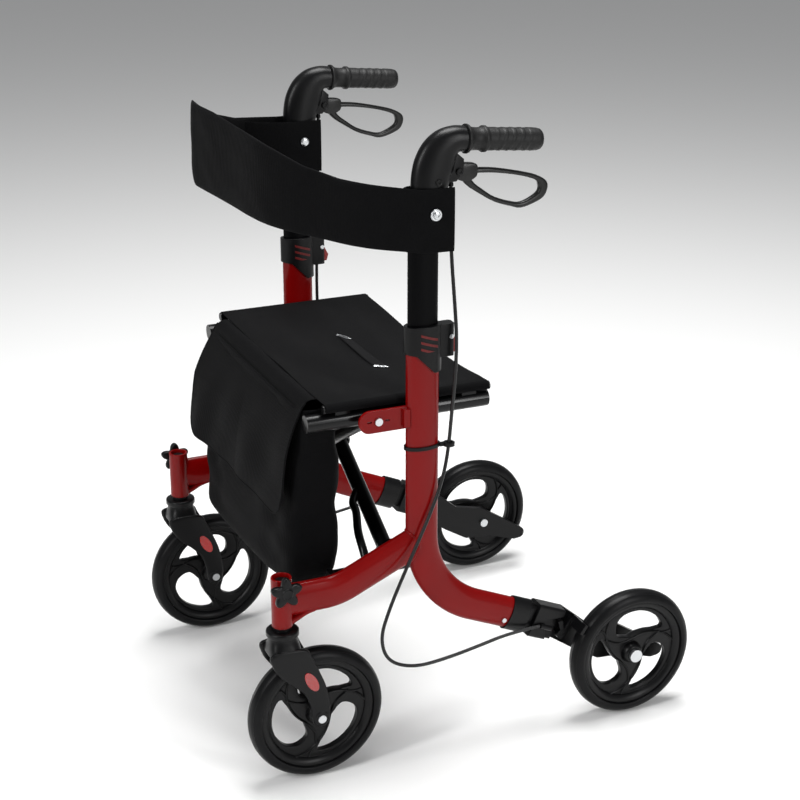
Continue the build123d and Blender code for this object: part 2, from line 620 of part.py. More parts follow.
# The two arms of the cross brace. Each runs from a sleeve on one side's hinge rod, over the
# crossing, to the seat's support tube on the other side.
for side, way, arm_y in (("left", 1, ARM_LEFT_Y), ("right", -1, ARM_RIGHT_Y)):
    other = -way
    low = (way * HINGE_X, HINGE_Z)
    high = (other * TOP_X, TOP_Z)
    sleeve_front = -205.0
    sleeve_rear = -86.0
    with BuildPart() as cross_arm:
        arm_dir = (high[0] - low[0], 0, high[1] - low[1])
        with BuildSketch(Plane(origin=(low[0], arm_y, low[1]), x_dir=(0, 1, 0), z_dir=arm_dir)):
            Ellipse(ARM_WIDE, ARM_LONG)
        extrude(amount=arm_length)
        with BuildSketch(Plane(origin=(low[0], arm_y, low[1]), x_dir=(0, 1, 0), z_dir=arm_dir)):
            RectangleRounded(2 * ARM_WIDE + 4, 2 * ARM_LONG + 6, 8)
        extrude(amount=34)
        with Locations(Plane(origin=(low[0], sleeve_front, low[1]), z_dir=(0, 1, 0))):
            Cylinder(SLEEVE_R, sleeve_rear - sleeve_front, align=(Align.CENTER, Align.CENTER, Align.MIN))
        strut_y = arm_y - 40 if way > 0 else arm_y - 38
        with BuildLine() as strut_line:
            Spline(
                (way * HINGE_X, strut_y, HINGE_Z + 4),
                (way * (HINGE_X - 12), strut_y, HINGE_Z + 25),
                (way * (HINGE_X - 38), strut_y + 3, HINGE_Z + 42),
                (way * (HINGE_X - 80), strut_y + 16, HINGE_Z + 57),
                (way * (HINGE_X - 121), arm_y - 2, HINGE_Z + 72),
                tangents=((-way * 0.2, 0, 1), (-way * 0.6, 0.7, 0.4)),
            )
        with BuildSketch(Plane(origin=strut_line.line @ 0, z_dir=strut_line.line % 0)):
            Circle(6)
        sweep(path=strut_line.line)
        with Locations(Plane(origin=(high[0], SUPPORT_FRONT, high[1]), z_dir=(0, 1, 0))):
            Cylinder(SUPPORT_R, SEAT_REAR - SUPPORT_FRONT, align=(Align.CENTER, Align.CENTER, Align.MIN))
        with Locations(Plane(origin=(low[0], sleeve_front - 1, low[1]), z_dir=(0, 1, 0))):
            Cylinder(
                ROD_R + RUN,
                sleeve_rear - sleeve_front + 2,
                align=(Align.CENTER, Align.CENTER, Align.MIN),
                mode=Mode.SUBTRACT,
            )
        cross_plane = Plane(origin=(0, arm_y, cross_z), z_dir=(0, 1, 0))
        if way > 0:
            with Locations(cross_plane):
                Cylinder(5 + RUN, 40, mode=Mode.SUBTRACT)
        else:
            with Locations(Plane(origin=(0, arm_y - 15, cross_z), z_dir=(0, 1, 0))):
                Cylinder(5, ARM_LEFT_Y - ARM_RIGHT_Y + 30, align=(Align.CENTER, Align.CENTER, Align.MIN))
                Cylinder(9, 3, align=(Align.CENTER, Align.CENTER, Align.MIN))
            with Locations(Plane(origin=(0, ARM_LEFT_Y + 13.5, cross_z), z_dir=(0, 1, 0))):
                Cylinder(9, 3)
    cross_arm.part.label = f"cross_arm_{side}"
    export_step(cross_arm.part, f"parts/cross_arm_{side}.step")

# The seat: a rail on each support tube, with a panel of cloth stretched between them. The
# rail on the left side's tube belongs to the arm that starts on the right.
for side, way in SIDES:
    with BuildPart() as seat_rail:
        with Locations(Plane(origin=(way * RAIL_X, SEAT_FRONT, RAIL_Z), z_dir=(0, 1, 0))):
            Cylinder(RAIL_R, SEAT_REAR - SEAT_FRONT, align=(Align.CENTER, Align.CENTER, Align.MIN))
        for spacer_y in (SEAT_FRONT + 30, SEAT_REAR - 30):
            with Locations((way * (TOP_X + 3), spacer_y, (TOP_Z + RAIL_Z) / 2 + 4)):
                Box(10, 22, 16)
        with Locations(Plane(origin=(way * TOP_X, SUPPORT_FRONT, TOP_Z), z_dir=(0, 1, 0))):
            Cylinder(
                SUPPORT_R,
                SEAT_REAR - SUPPORT_FRONT,
                align=(Align.CENTER, Align.CENTER, Align.MIN),
                mode=Mode.SUBTRACT,
            )
    seat_rail.part.label = f"seat_rail_{side}"
    export_step(seat_rail.part, f"parts/seat_rail_{side}.step")

seat_inner = RAIL_R + CLEAR
seat_outer = RAIL_R + 1.6
seat_sag = 9.0
with BuildPart() as seat:
    with BuildSketch(Plane(origin=(0, SEAT_REAR - 2, 0), x_dir=(1, 0, 0), z_dir=(0, -1, 0))):
        with BuildLine():
            for r in (seat_outer, seat_inner):
                ThreePointArc((-RAIL_X, RAIL_Z + r), (0, RAIL_Z + r - seat_sag), (RAIL_X, RAIL_Z + r))
                for way in (-1, 1):
                    CenterArc((way * RAIL_X, RAIL_Z), r, 90, -way * 120)
            for way in (-1, 1):
                tip = Vector(cos(radians(-30)), sin(radians(-30)))
                Line(
                    (way * (RAIL_X + seat_inner * tip.X), RAIL_Z + seat_inner * tip.Y),
                    (way * (RAIL_X + seat_outer * tip.X), RAIL_Z + seat_outer * tip.Y),
                )
        make_face()
    extrude(amount=SEAT_REAR - SEAT_FRONT - 4)
seat.part.label = "seat"
export_step(seat.part, "parts/seat.step")

# The bag under the front of the seat, open at the top, hung from the support tubes
BAG_X = 196.0
BAG_FRONT = -266.0
BAG_REAR = -190.0
BAG_TOP = 535.0
BAG_WALL = 2.0
BAG_TAPER = 6.0
BAG_CORNER = 14.0
BAG_LOW_LEFT = 262.0
BAG_LOW_RIGHT = 236.0
with BuildPart() as bag:
    rear_face = Plane(origin=(0, BAG_REAR, 0), x_dir=(1, 0, 0), z_dir=(0, -1, 0))
    inner_face = Plane(origin=(0, BAG_REAR - BAG_WALL, 0), x_dir=(1, 0, 0), z_dir=(0, -1, 0))
    with BuildSketch(rear_face) as bag_face:
        with BuildLine():
            Polyline((-BAG_X, BAG_TOP), (BAG_X, BAG_TOP), (BAG_X - BAG_TAPER, BAG_LOW_LEFT),
                     (BAG_TAPER - BAG_X, BAG_LOW_RIGHT), close=True)
        make_face()
        fillet(bag_face.vertices().group_by(Axis.Z)[0], radius=BAG_CORNER)
    extrude(amount=BAG_REAR - BAG_FRONT)
    with BuildSketch(inner_face) as bag_room:
        with BuildLine():
            Polyline(
                (BAG_WALL - BAG_X, BAG_TOP + 1),
                (BAG_X - BAG_WALL, BAG_TOP + 1),
                (BAG_X - BAG_TAPER - BAG_WALL, BAG_LOW_LEFT + BAG_WALL),
                (BAG_TAPER + BAG_WALL - BAG_X, BAG_LOW_RIGHT + BAG_WALL),
                close=True,
            )
        make_face()
        fillet(bag_room.vertices().group_by(Axis.Z)[0], radius=BAG_CORNER - BAG_WALL)
    extrude(amount=BAG_REAR - BAG_FRONT - 2 * BAG_WALL, mode=Mode.SUBTRACT)
bag.part.label = "bag"
export_step(bag.part, "parts/bag.step")

# The flap over the front of the bag, hinged just in front of the seat
FLAP_HINGE = (-228.0, 538.5)
FLAP_X = 190.0
FLAP_LOW = 377.0
with BuildPart() as bag_flap:
    with BuildSketch(Plane(origin=(0, BAG_FRONT - 0.8, 0), x_dir=(1, 0, 0), z_dir=(0, -1, 0))) as flap_face:
        with BuildLine():
            Polyline((-FLAP_X, 538), (FLAP_X, 538), (FLAP_X, FLAP_LOW), (-FLAP_X, FLAP_LOW), close=True)
        make_face()
        fillet(flap_face.vertices().group_by(Axis.Z)[0], radius=38)
    extrude(amount=2)
    with Locations((0, (FLAP_HINGE[0] + BAG_FRONT - 2.8) / 2, 537)):
        Box(2 * FLAP_X, FLAP_HINGE[0] - BAG_FRONT + 2.8, 2)
bag_flap.part.label = "bag_flap"
export_step(bag_flap.part, "parts/bag_flap.step")

# The backrest: a padded band round the front of the two handles. It bulges further forward
# on the right. On each side a strap on the inner face of the handle meets the band.
BAND_REAR = -48.0
BAND_LOW = 755.0
BAND_END_TOP = 842.0
BAND_TOP = 887.0
band_outer = (
    (262.5, -86), (258, -101), (246, -115), (218, -151), (180, -178), (140, -199), (98, -222), (52, -238),
    (0, -246), (-66, -250), (-150, -257), (-212, -260), (-243, -247), (-256, -222), (-260, -192), (-261, -160),
    (-262, -130), (-262.5, -100),
)
band_inner = (
    (258.5, -86), (253, -98), (240, -110), (211, -144), (174, -170), (135, -190), (94, -213), (49, -229),
    (0, -236), (-66, -240), (-146, -247), (-204, -250), (-234, -239), (-247, -217), (-252, -190), (-255, -160),
    (-257.5, -130), (-258.5, -100),
)
left_strap = (
    (221.3, BAND_REAR), (224.3, BAND_REAR), (224.3, -100), (231, -110), (243, -115), (236, -124), (224, -114),
    (221.3, -103),
)
right_strap = (
    (-221.3, BAND_REAR), (-224.3, BAND_REAR), (-224.3, -103), (-237, -130), (-255, -160), (-256, -168),
    (-234, -135), (-221.3, -105),
)
with BuildPart() as backrest:
    with BuildSketch(Plane.XY.offset(BAND_LOW - 5)):
        with BuildLine():
            for band_line in (band_outer, band_inner):
                Spline(*band_line)
                for tip in (band_line[0], band_line[-1]):
                    Line((tip[0], BAND_REAR), tip)
            for way in (-1, 1):
                Line((way * band_outer[0][0], BAND_REAR), (way * band_inner[0][0], BAND_REAR))
        make_face()
        for strap in (left_strap, right_strap):
            with BuildLine():
                Polyline(*strap, close=True)
            make_face()
    extrude(amount=BAND_TOP - BAND_LOW + 10)
    with BuildSketch(side_plane(0)):
        with BuildLine():
            Polyline(
                (-40, BAND_LOW), (-108, 757), (-270, 760), (-270, BAND_TOP), (-250, 884), (-235, 872),
                (-205, 854), (-176, 846), (-108, BAND_END_TOP), (-40, BAND_END_TOP), close=True,
            )
        make_face()
    extrude(amount=300, both=True, mode=Mode.INTERSECT)
    with Locations(side_plane(0, bolt_y, bolt_z)):
        Cylinder(3.2, 600, mode=Mode.SUBTRACT)
backrest.part.label = "backrest"
export_step(backrest.part, "parts/backrest.step")


def route_radii(points):
    """The bend radius at each inner point: 0.45 of the shorter run over tan(half the turn)."""
    radii = []
    for a, b, c in zip(points, points[1:], points[2:]):
        before = Vector(*b) - Vector(*a)
        after = Vector(*c) - Vector(*b)
        half_turn = radians(before.get_angle(after) / 2)
        radii.append(0.45 * min(before.length, after.length) / tan(half_turn))
    return radii


# The brake cables, from the elbow down through the clip, round in a slack loop under the
# front leg and back to the adjuster on the brake housing
CABLE_R = 2.5
cable_route = (
    (241.5, -45, 838), (243, -45.5, 795), (247, -45.5, 745), (254, -44, 692), (262, -43, 636),
    (262, -44.5, 580), (256, -46.5, 527), (250.5, -47.5, 478), (253, -56, 433), (260, -77, 387),
    (266, -102, 342), (268, -125, 296), (267, -145, 249), (265, -158, 205), (264, -146, 165),
    (263, -104, 146), (262, -52, 149), (261, 0, 157), (260, 50, 166), (259.6, 99, 166.7),
)
for side, way in SIDES:
    points = [(way * x, y, z) for x, y, z in cable_route]
    bend_radii = route_radii(points)
    print("cable radii", side, [round(r) for r in bend_radii])
    with BuildPart() as brake_cable:
        with BuildLine() as cable_line:
            FilletPolyline(*points, radius=bend_radii)
        with BuildSketch(Plane(origin=cable_line.line @ 0, z_dir=cable_line.line % 0)):
            Circle(CABLE_R)
        sweep(path=cable_line.line)
    cable_length = cable_line.wires()[0].length
    volume_share = brake_cable.part.volume / (pi * CABLE_R**2 * cable_length)
    print("cable length", round(cable_length), "volume share", round(volume_share, 4))
    brake_cable.part.label = f"brake_cable_{side}"
    export_step(brake_cable.part, f"parts/brake_cable_{side}.step")
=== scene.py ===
import bmesh
import bpy
import numpy as np
from mathutils import Matrix, Vector


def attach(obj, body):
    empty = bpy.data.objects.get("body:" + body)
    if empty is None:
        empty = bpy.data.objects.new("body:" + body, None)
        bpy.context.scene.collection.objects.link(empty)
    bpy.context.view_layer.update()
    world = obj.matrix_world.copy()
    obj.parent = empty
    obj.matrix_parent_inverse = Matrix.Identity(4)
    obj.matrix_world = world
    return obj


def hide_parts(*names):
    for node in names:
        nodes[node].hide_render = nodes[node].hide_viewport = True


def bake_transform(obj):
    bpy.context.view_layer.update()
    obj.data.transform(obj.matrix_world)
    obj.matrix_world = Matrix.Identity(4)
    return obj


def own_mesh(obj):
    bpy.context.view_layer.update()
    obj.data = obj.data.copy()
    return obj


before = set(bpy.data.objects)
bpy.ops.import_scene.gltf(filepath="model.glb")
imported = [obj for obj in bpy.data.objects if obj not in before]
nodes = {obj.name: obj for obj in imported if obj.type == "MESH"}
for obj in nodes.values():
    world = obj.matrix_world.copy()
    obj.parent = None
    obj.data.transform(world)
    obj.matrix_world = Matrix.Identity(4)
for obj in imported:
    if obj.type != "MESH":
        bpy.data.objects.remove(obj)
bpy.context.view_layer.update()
SIDES = (("left", 1), ("right", -1))

# Camera: a long lens at the walker's front left, a little above the seat. The walker stands
# right of the lens's axis, which the shift takes up.
camera_at = Vector((2.216, -0.980, 1.368))
camera_azimuth = np.radians(64.953)
camera_elevation = np.radians(20.788)
camera_roll = np.radians(0.537)
camera_back = Vector((
    np.sin(camera_azimuth) * np.cos(camera_elevation),
    -np.cos(camera_azimuth) * np.cos(camera_elevation),
    np.sin(camera_elevation),
))
camera = bpy.data.objects.new("camera", bpy.data.cameras.new("camera"))
bpy.context.scene.collection.objects.link(camera)
camera.matrix_world = (
    Matrix.Translation(camera_at)
    @ camera_back.to_track_quat("Z", "Y").to_matrix().to_4x4()
    @ Matrix.Rotation(camera_roll, 4, "Z")
)
camera.data.lens = 76.6
camera.data.shift_x = -0.0503
camera.data.clip_end = 50
bpy.context.scene.camera = camera

# Floor and light: a pale studio floor, a bright even surround, and three large soft lamps
# that give the tubes their long highlights.


def srgb(code):
    """An sRGB hex colour as linear RGBA: each part is (c + 0.055) / 1.055 to the power 2.4."""
    c = np.array([int(code[i : i + 2], 16) for i in (1, 3, 5)]) / 255
    linear = np.where(c <= 0.04045, c / 12.92, ((c + 0.055) / 1.055) ** 2.4)
    return (*linear.tolist(), 1.0)


def add_node(tree, kind, inputs=(), **settings):
    """Adds a node, sets its settings, and sets or links each input, given as {socket: value}."""
    made = tree.nodes.new(kind)
    for name, value in settings.items():
        setattr(made, name, value)
    for name, value in dict(inputs).items():
        if isinstance(value, bpy.types.NodeSocket):
            tree.links.new(value, made.inputs[name])
        else:
            made.inputs[name].default_value = value
    return made


def new_material(name, **surface):
    """A material with its Principled shader's sockets set; returns it, its tree and the shader."""
    made = bpy.data.materials.new(name)
    made.use_nodes = True
    shader = made.node_tree.nodes["Principled BSDF"]
    for socket, value in surface.items():
        shader.inputs[socket.replace("_", " ")].default_value = value
    return made, made.node_tree, shader


studio_floor = new_material("studio_floor_paint", Base_Color=srgb("#f3f3f2"), Roughness=0.9)[0]
floor_mesh = bpy.data.meshes.new("floor")
floor_mesh.from_pydata([(-9, -9, 0), (9, -9, 0), (9, 9, 0), (-9, 9, 0)], [], [(0, 1, 2, 3)])
floor = bpy.data.objects.new("floor", floor_mesh)
floor_mesh.materials.append(studio_floor)
bpy.context.scene.collection.objects.link(floor)

surround = bpy.data.worlds.new("surround")
surround.use_nodes = True
surround.node_tree.nodes["Background"].inputs["Color"].default_value = srgb("#f7f8fa")
surround.node_tree.nodes["Background"].inputs["Strength"].default_value = 0.3
bpy.context.scene.world = surround
bpy.context.scene.view_settings.view_transform = "Standard"

LAMPS = (
    ("front_lamp", (1.0, -3.2, 2.2), (0.5, 2.0), 62),
    ("side_lamp", (3.3, 1.3, 1.7), (0.4, 2.2), 50),
    ("top_lamp", (-0.2, 0.3, 3.4), (1.6, 1.6), 120),
)
for lamp_name, lamp_at, lamp_size, lamp_power in LAMPS:
    lamp = bpy.data.objects.new(lamp_name, bpy.data.lights.new(lamp_name, "AREA"))
    lamp.data.shape = "RECTANGLE"
    lamp.data.size, lamp.data.size_y = lamp_size
    lamp.data.energy = lamp_power
    lamp.location = lamp_at
    lamp.rotation_euler = (Vector(lamp_at) - Vector((0, 0, 0.45))).to_track_quat("Z", "Y").to_euler()
    bpy.context.scene.collection.objects.link(lamp)

# The side frames: deep red powder-coated oval aluminium tube. The upright is bent to the rear
# at its foot, and the front leg is welded to it and carries the caster's head tube.
FRAME_X = 0.2415
OVAL_LONG = 0.024
OVAL_WIDE = 0.0125
UPRIGHT_Y = -0.0845
TAIL_END = np.array((0.0665, 0.186))
TAIL_SLOPE = np.radians(23.6)
LEG_Z = 0.282
LEG_BEND_Y = -0.212
LEG_WIDE = 0.0117
HEAD_Y = -0.294
HEAD_R = 0.0145


def bent_line(points, radius, gap=0.004):
    """Points every gap or so along straight runs joined by arcs: each arc starts radius times
    tan(half the turn) before its corner and is a slerp between the two runs' directions."""
    points = np.asarray(points, float)
    line = [points[:1]]
    for before, corner, after in zip(points, points[1:], points[2:]):
        a = (before - corner) / np.linalg.norm(before - corner)
        b = (after - corner) / np.linalg.norm(after - corner)
        half = np.arccos(np.clip(a @ b, -1, 1)) / 2
        reach = radius / np.tan(half)
        middle = corner + (a + b) / np.linalg.norm(a + b) * radius / np.sin(half)
        start = corner + a * reach - middle
        end = corner + b * reach - middle
        turn = np.pi - 2 * half
        t = np.linspace(0, 1, max(4, int(radius * turn / gap)))[:, None]
        line.append(middle + (np.sin((1 - t) * turn) * start + np.sin(t * turn) * end) / np.sin(turn))
    line.append(points[-1:])
    return even(np.concatenate(line), gap)


def even(line, gap=0.004):
    """The same line with its points spaced evenly, gap or a little more apart."""
    along = np.concatenate([[0], np.cumsum(np.linalg.norm(np.diff(line, axis=0), axis=1))])
    at = np.linspace(0, along[-1], max(2, int(along[-1] / gap) + 1))
    return np.stack([np.interp(at, along, line[:, k]) for k in range(line.shape[1])], 1)


def smooth_line(points, closed=False, parts=12):
    """A Catmull-Rom curve through the points, with parts steps between neighbours."""
    p = np.asarray(points, float)
    if closed:
        p = np.concatenate([p[-1:], p, p[:2]])
    else:
        p = np.concatenate([2 * p[:1] - p[1:2], p, 2 * p[-1:] - p[-2:-1]])
    t = np.linspace(0, 1, parts, endpoint=False)[None, :, None]
    a, b, c, d = (p[k : len(p) - 3 + k, None, :] for k in range(4))
    curve = 0.5 * (2 * b + (c - a) * t + (2 * a - 5 * b + 4 * c - d) * t**2 + (3 * b - a - 3 * c + d) * t**3)
    curve = curve.reshape(-1, p.shape[1])
    return curve if closed else np.concatenate([curve, p[-2:-1]])


def side_bar(x, line, long_r, wide_r, power=2.0, round_end=(0, 0), turns=40):
    """A bar in the plane x: at each point of the (y, z) line its section is a superellipse,
    long_r in that plane and wide_r across it, both tapering as a quarter circle at a round end."""
    line = np.asarray(line, float)
    step = np.gradient(line, axis=0)
    step /= np.linalg.norm(step, axis=1)[:, None]
    along = np.concatenate([[0], np.cumsum(np.linalg.norm(np.diff(line, axis=0), axis=1))])
    taper = np.ones(len(line))
    for length, distance in ((round_end[0], along), (round_end[1], along[-1] - along)):
        if length:
            taper *= np.sqrt(np.clip(1 - np.clip(1 - distance / length, 0, 1) ** 2, 1e-3, 1))
    angle = np.linspace(0, 2 * np.pi, turns, endpoint=False)
    c, s = np.cos(angle), np.sin(angle)
    u = np.sign(c) * np.abs(c) ** (2 / power)
    w = np.sign(s) * np.abs(s) ** (2 / power)
    up = (np.asarray(long_r) * taper)[:, None] * u
    out = (np.asarray(wide_r) * taper)[:, None] * w
    y = line[:, :1] - step[:, 1:] * up
    z = line[:, 1:] + step[:, :1] * up
    return np.stack([x + out, y, z], -1)


def tube(line, radius, turns=20):
    """A round tube along a 3-D line: each section's plane is square to the line, and its first
    direction is the one nearest to vertical or, on a vertical line, to +Y."""
    line = np.asarray(line, float)
    step = np.gradient(line, axis=0)
    step /= np.linalg.norm(step, axis=1)[:, None]
    guide = np.array((0, 0, 1.0)) if np.abs(step[:, 2]).max() < 0.9 else np.array((0.13, 0.99, 0.05))
    first = np.cross(step, guide)
    first /= np.linalg.norm(first, axis=1)[:, None]
    second = np.cross(step, first)
    angle = np.linspace(0, 2 * np.pi, turns, endpoint=False)[None, :, None]
    r = np.asarray(radius, float).reshape(-1, 1, 1)
    return line[:, None] + r * (np.cos(angle) * first[:, None] + np.sin(angle) * second[:, None])


def turned(origin, axis, profile, turns=64):
    """A turned surface: the profile's (distance along the axis, radius) carried round the axis."""
    axis = np.asarray(axis, float) / np.linalg.norm(axis)
    first = np.cross(axis, (0, 0, 1.0) if abs(axis[2]) < 0.9 else (0, 1.0, 0))
    first /= np.linalg.norm(first)
    second = np.cross(axis, first)
    profile = np.asarray(profile, float)
    angle = np.linspace(0, 2 * np.pi, turns, endpoint=False)[None, :, None]
    spokes = np.cos(angle) * first + np.sin(angle) * second
    return np.asarray(origin) + profile[:, :1, None] * axis + profile[:, 1:, None] * spokes


def shell_faces(rows, cols, wrap_rows, wrap_cols, caps, first):
    """Quads between the neighbours of a rows by cols grid, and a face on each open end."""
    index = first + np.arange(rows * cols).reshape(rows, cols)
    a = np.concatenate([index, index[:1]]) if wrap_rows else index
    a = np.concatenate([a, a[:, :1]], 1) if wrap_cols else a
    quads = np.stack([a[:-1, :-1], a[:-1, 1:], a[1:, 1:], a[1:, :-1]], -1).reshape(-1, 4)
    ends = [index[0, ::-1].tolist(), index[-1].tolist()] if caps and not wrap_rows else []
    return quads.tolist() + ends


def make_piece(name, shells, material, body, cad_nodes=(), smooth=35, closed=True):
    """One mesh from several shells, each a grid of points that wraps in its second direction.
    A shell is the grid, or (grid, options) with wrap_rows, wrap_cols and caps."""
    points, faces, first = [], [], 0
    for shell in shells:
        grid, options = shell if isinstance(shell, tuple) else (shell, {})
        if "faces" in options:
            faces += [[first + corner for corner in face] for face in options["faces"]]
            points.append(grid)
            first += len(grid)
            continue
        rows, cols = grid.shape[:2]
        wrap_rows = options.get("wrap_rows", False)
        faces += shell_faces(
            rows, cols, wrap_rows, options.get("wrap_cols", True), options.get("caps", True), first,
        )
        points.append(grid.reshape(-1, 3))
        first += rows * cols
    mesh = bpy.data.meshes.new(name)
    mesh.from_pydata(np.concatenate(points).tolist(), [], faces)
    made = bpy.data.objects.new(name, mesh)
    bpy.context.scene.collection.objects.link(made)
    if closed:
        outward(mesh)
    mesh.materials.append(material)
    mesh.shade_smooth()
    mesh.set_sharp_from_angle(angle=np.radians(smooth))
    if body:
        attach(made, body)
    if cad_nodes:
        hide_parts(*cad_nodes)
    return made


def outward(mesh):
    """Turns every closed shell's faces outwards."""
    work = bmesh.new()
    work.from_mesh(mesh)
    bmesh.ops.remove_doubles(work, verts=work.verts, dist=1e-6)
    bmesh.ops.recalc_face_normals(work, faces=work.faces)
    work.to_mesh(mesh)
    work.free()


# Powder coat: a thick gloss film whose surface has a faint orange peel, so its reflections
# are sharp but not quite straight. Colour varies very little.
powder_coat_red, tree, shader = new_material(
    "red_gloss_powder_coat", Base_Color=srgb("#720101"), Roughness=0.34, Specular_IOR_Level=0.08,
    Coat_Weight=0.22, Coat_Roughness=0.07
)
place = add_node(tree, "ShaderNodeTexCoord")
mottle = add_node(
    tree, "ShaderNodeTexNoise", {"Vector": place.outputs["Object"], "Scale": 18.0, "Detail": 3.0},
)
tint = add_node(
    tree, "ShaderNodeMix", {0: mottle.outputs["Fac"], 6: srgb("#6e0101"), 7: srgb("#7a0202")},
    data_type="RGBA",
)
tree.links.new(tint.outputs[2], shader.inputs["Base Color"])
peel = add_node(
    tree, "ShaderNodeTexNoise", {"Vector": place.outputs["Object"], "Scale": 420.0, "Detail": 1.0},
)
relief = add_node(
    tree, "ShaderNodeBump", {"Height": peel.outputs["Fac"], "Strength": 0.06, "Distance": 0.0006},
)
tree.links.new(relief.outputs["Normal"], shader.inputs["Normal"])
tree.links.new(relief.outputs["Normal"], shader.inputs["Coat Normal"])

corner_z = TAIL_END[1] + np.tan(TAIL_SLOPE) * (TAIL_END[0] - UPRIGHT_Y)
upright_line = bent_line([(UPRIGHT_Y, 0.641), (UPRIGHT_Y, corner_z), TAIL_END], 0.138)
leg_top = (UPRIGHT_Y, LEG_Z + np.tan(TAIL_SLOPE) * (UPRIGHT_Y - LEG_BEND_Y))
leg_line = bent_line([(HEAD_Y + 0.004, LEG_Z), (LEG_BEND_Y, LEG_Z), leg_top], 0.09)
leg_line = leg_line[leg_line[:, 0] < UPRIGHT_Y - 0.004]
for side, way in SIDES:
    x = way * FRAME_X
    angle = np.linspace(0, 2 * np.pi, 96, endpoint=False)
    out = LEG_WIDE * np.sin(angle)
    up = OVAL_LONG * np.cos(angle)
    weld_y = UPRIGHT_Y - OVAL_LONG * np.sqrt(1 - (out / OVAL_WIDE) ** 2) + 0.0006
    run_y = weld_y + up * np.sin(TAIL_SLOPE)
    weld_z = LEG_Z + np.tan(TAIL_SLOPE) * (run_y - LEG_BEND_Y) + up * np.cos(TAIL_SLOPE)
    weld = np.stack([x + out, weld_y, weld_z], 1)
    weld_step = np.roll(weld, -1, 0) - np.roll(weld, 1, 0)
    weld_step /= np.linalg.norm(weld_step, axis=1)[:, None]
    bead_first = np.cross(weld_step, (0, 1.0, 0.4))
    bead_first /= np.linalg.norm(bead_first, axis=1)[:, None]
    bead_second = np.cross(weld_step, bead_first)
    ring = np.linspace(0, 2 * np.pi, 8, endpoint=False)[None, :, None]
    ripple = (0.0021 + 0.0003 * np.sin(angle * 34))[:, None, None]
    bead = weld[:, None] + ripple * (np.cos(ring) * bead_first[:, None] + np.sin(ring) * bead_second[:, None])
    make_piece(
        f"oval_upright_{side}", [side_bar(x, upright_line, OVAL_LONG, OVAL_WIDE, turns=64)],
        powder_coat_red, f"frame_{side}", [f"upright_{side}"],
    )
    head_profile = [
        (0.0, HEAD_R - 0.004), (0.0, HEAD_R - 0.0006), (0.0008, HEAD_R), (0.0732, HEAD_R),
        (0.074, HEAD_R - 0.0006),
        (0.074, HEAD_R - 0.0026), (0.0732, HEAD_R - 0.003), (0.067, HEAD_R - 0.003), (0.067, 0.001),
    ]
    web_line = smooth_line(
        [(HEAD_Y + 0.006, 0.249), (HEAD_Y + 0.02, 0.254), (HEAD_Y + 0.034, 0.2595), (HEAD_Y + 0.05, 0.262)]
    )
    web = side_bar(
        x, web_line, np.linspace(0.006, 0.003, len(web_line)), np.linspace(0.0095, 0.006, len(web_line)),
        2.4, (0.003, 0.004), 24,
    )
    make_piece(
        f"welded_leg_{side}",
        [
            side_bar(x, leg_line, OVAL_LONG, LEG_WIDE, turns=64),
            (bead, {"wrap_rows": True}),
            turned((x, HEAD_Y, 0.245), (0, 0, 1), head_profile),
            web,
        ],
        powder_coat_red, f"frame_{side}", [f"front_leg_{side}"],
    )

# The red plates ahead of the uprights, which the seat's rails come down on: pressed aluminium,
# coated with the tubes and bolted through.


def paint(material, *names):
    """Gives CAD nodes their finish."""
    for name in names:
        for held in nodes[name].material_slots:
            held.material = material


# A Bevel node rounds the look of a hard edge by its radius, with the relief on top.
rounding = add_node(tree, "ShaderNodeBevel", {"Radius": 0.0010}, samples=4)
tree.links.new(rounding.outputs["Normal"], relief.inputs["Normal"])
paint(powder_coat_red, "seat_bracket_left", "seat_bracket_right")

# Black mouldings: collars, sockets, brake housings, elbows and knobs are injection-moulded
# nylon. The tool was spark-eroded, which leaves a fine even grain and a satin surface.
moulded_nylon, tree, shader = new_material(
    "spark_eroded_black_nylon", Base_Color=srgb("#070708"), Roughness=0.36, Specular_IOR_Level=0.2
)
place = add_node(tree, "ShaderNodeTexCoord")
wear = add_node(tree, "ShaderNodeTexNoise", {"Vector": place.outputs["Object"], "Scale": 35.0, "Detail": 4.0})
dull = add_node(tree, "ShaderNodeMapRange", {"Value": wear.outputs["Fac"], "To Min": 0.27, "To Max": 0.42})
tree.links.new(dull.outputs["Result"], shader.inputs["Roughness"])
grain = add_node(
    tree, "ShaderNodeTexNoise", {"Vector": place.outputs["Object"], "Scale": 1400.0, "Detail": 2.0},
)
relief = add_node(
    tree, "ShaderNodeBump", {"Height": grain.outputs["Fac"], "Strength": 0.25, "Distance": 0.0002},
)
tree.links.new(relief.outputs["Normal"], shader.inputs["Normal"])
rounding = add_node(tree, "ShaderNodeBevel", {"Radius": 0.0010}, samples=4)
tree.links.new(rounding.outputs["Normal"], relief.inputs["Normal"])

# Stoved black paint on the brace, the support tubes and the brackets: a thinner and glossier
# film than the nylon, with the same faint peel as any sprayed coat.
stoved_black, tree, shader = new_material(
    "stoved_black_enamel", Base_Color=srgb("#070708"), Roughness=0.28, Specular_IOR_Level=0.12,
    Coat_Weight=0.2, Coat_Roughness=0.1
)
place = add_node(tree, "ShaderNodeTexCoord")
peel = add_node(
    tree, "ShaderNodeTexNoise", {"Vector": place.outputs["Object"], "Scale": 380.0, "Detail": 1.0},
)
relief = add_node(
    tree, "ShaderNodeBump", {"Height": peel.outputs["Fac"], "Strength": 0.08, "Distance": 0.0006},
)
tree.links.new(relief.outputs["Normal"], shader.inputs["Normal"])
rounding = add_node(tree, "ShaderNodeBevel", {"Radius": 0.0009}, samples=4)
tree.links.new(rounding.outputs["Normal"], relief.inputs["Normal"])

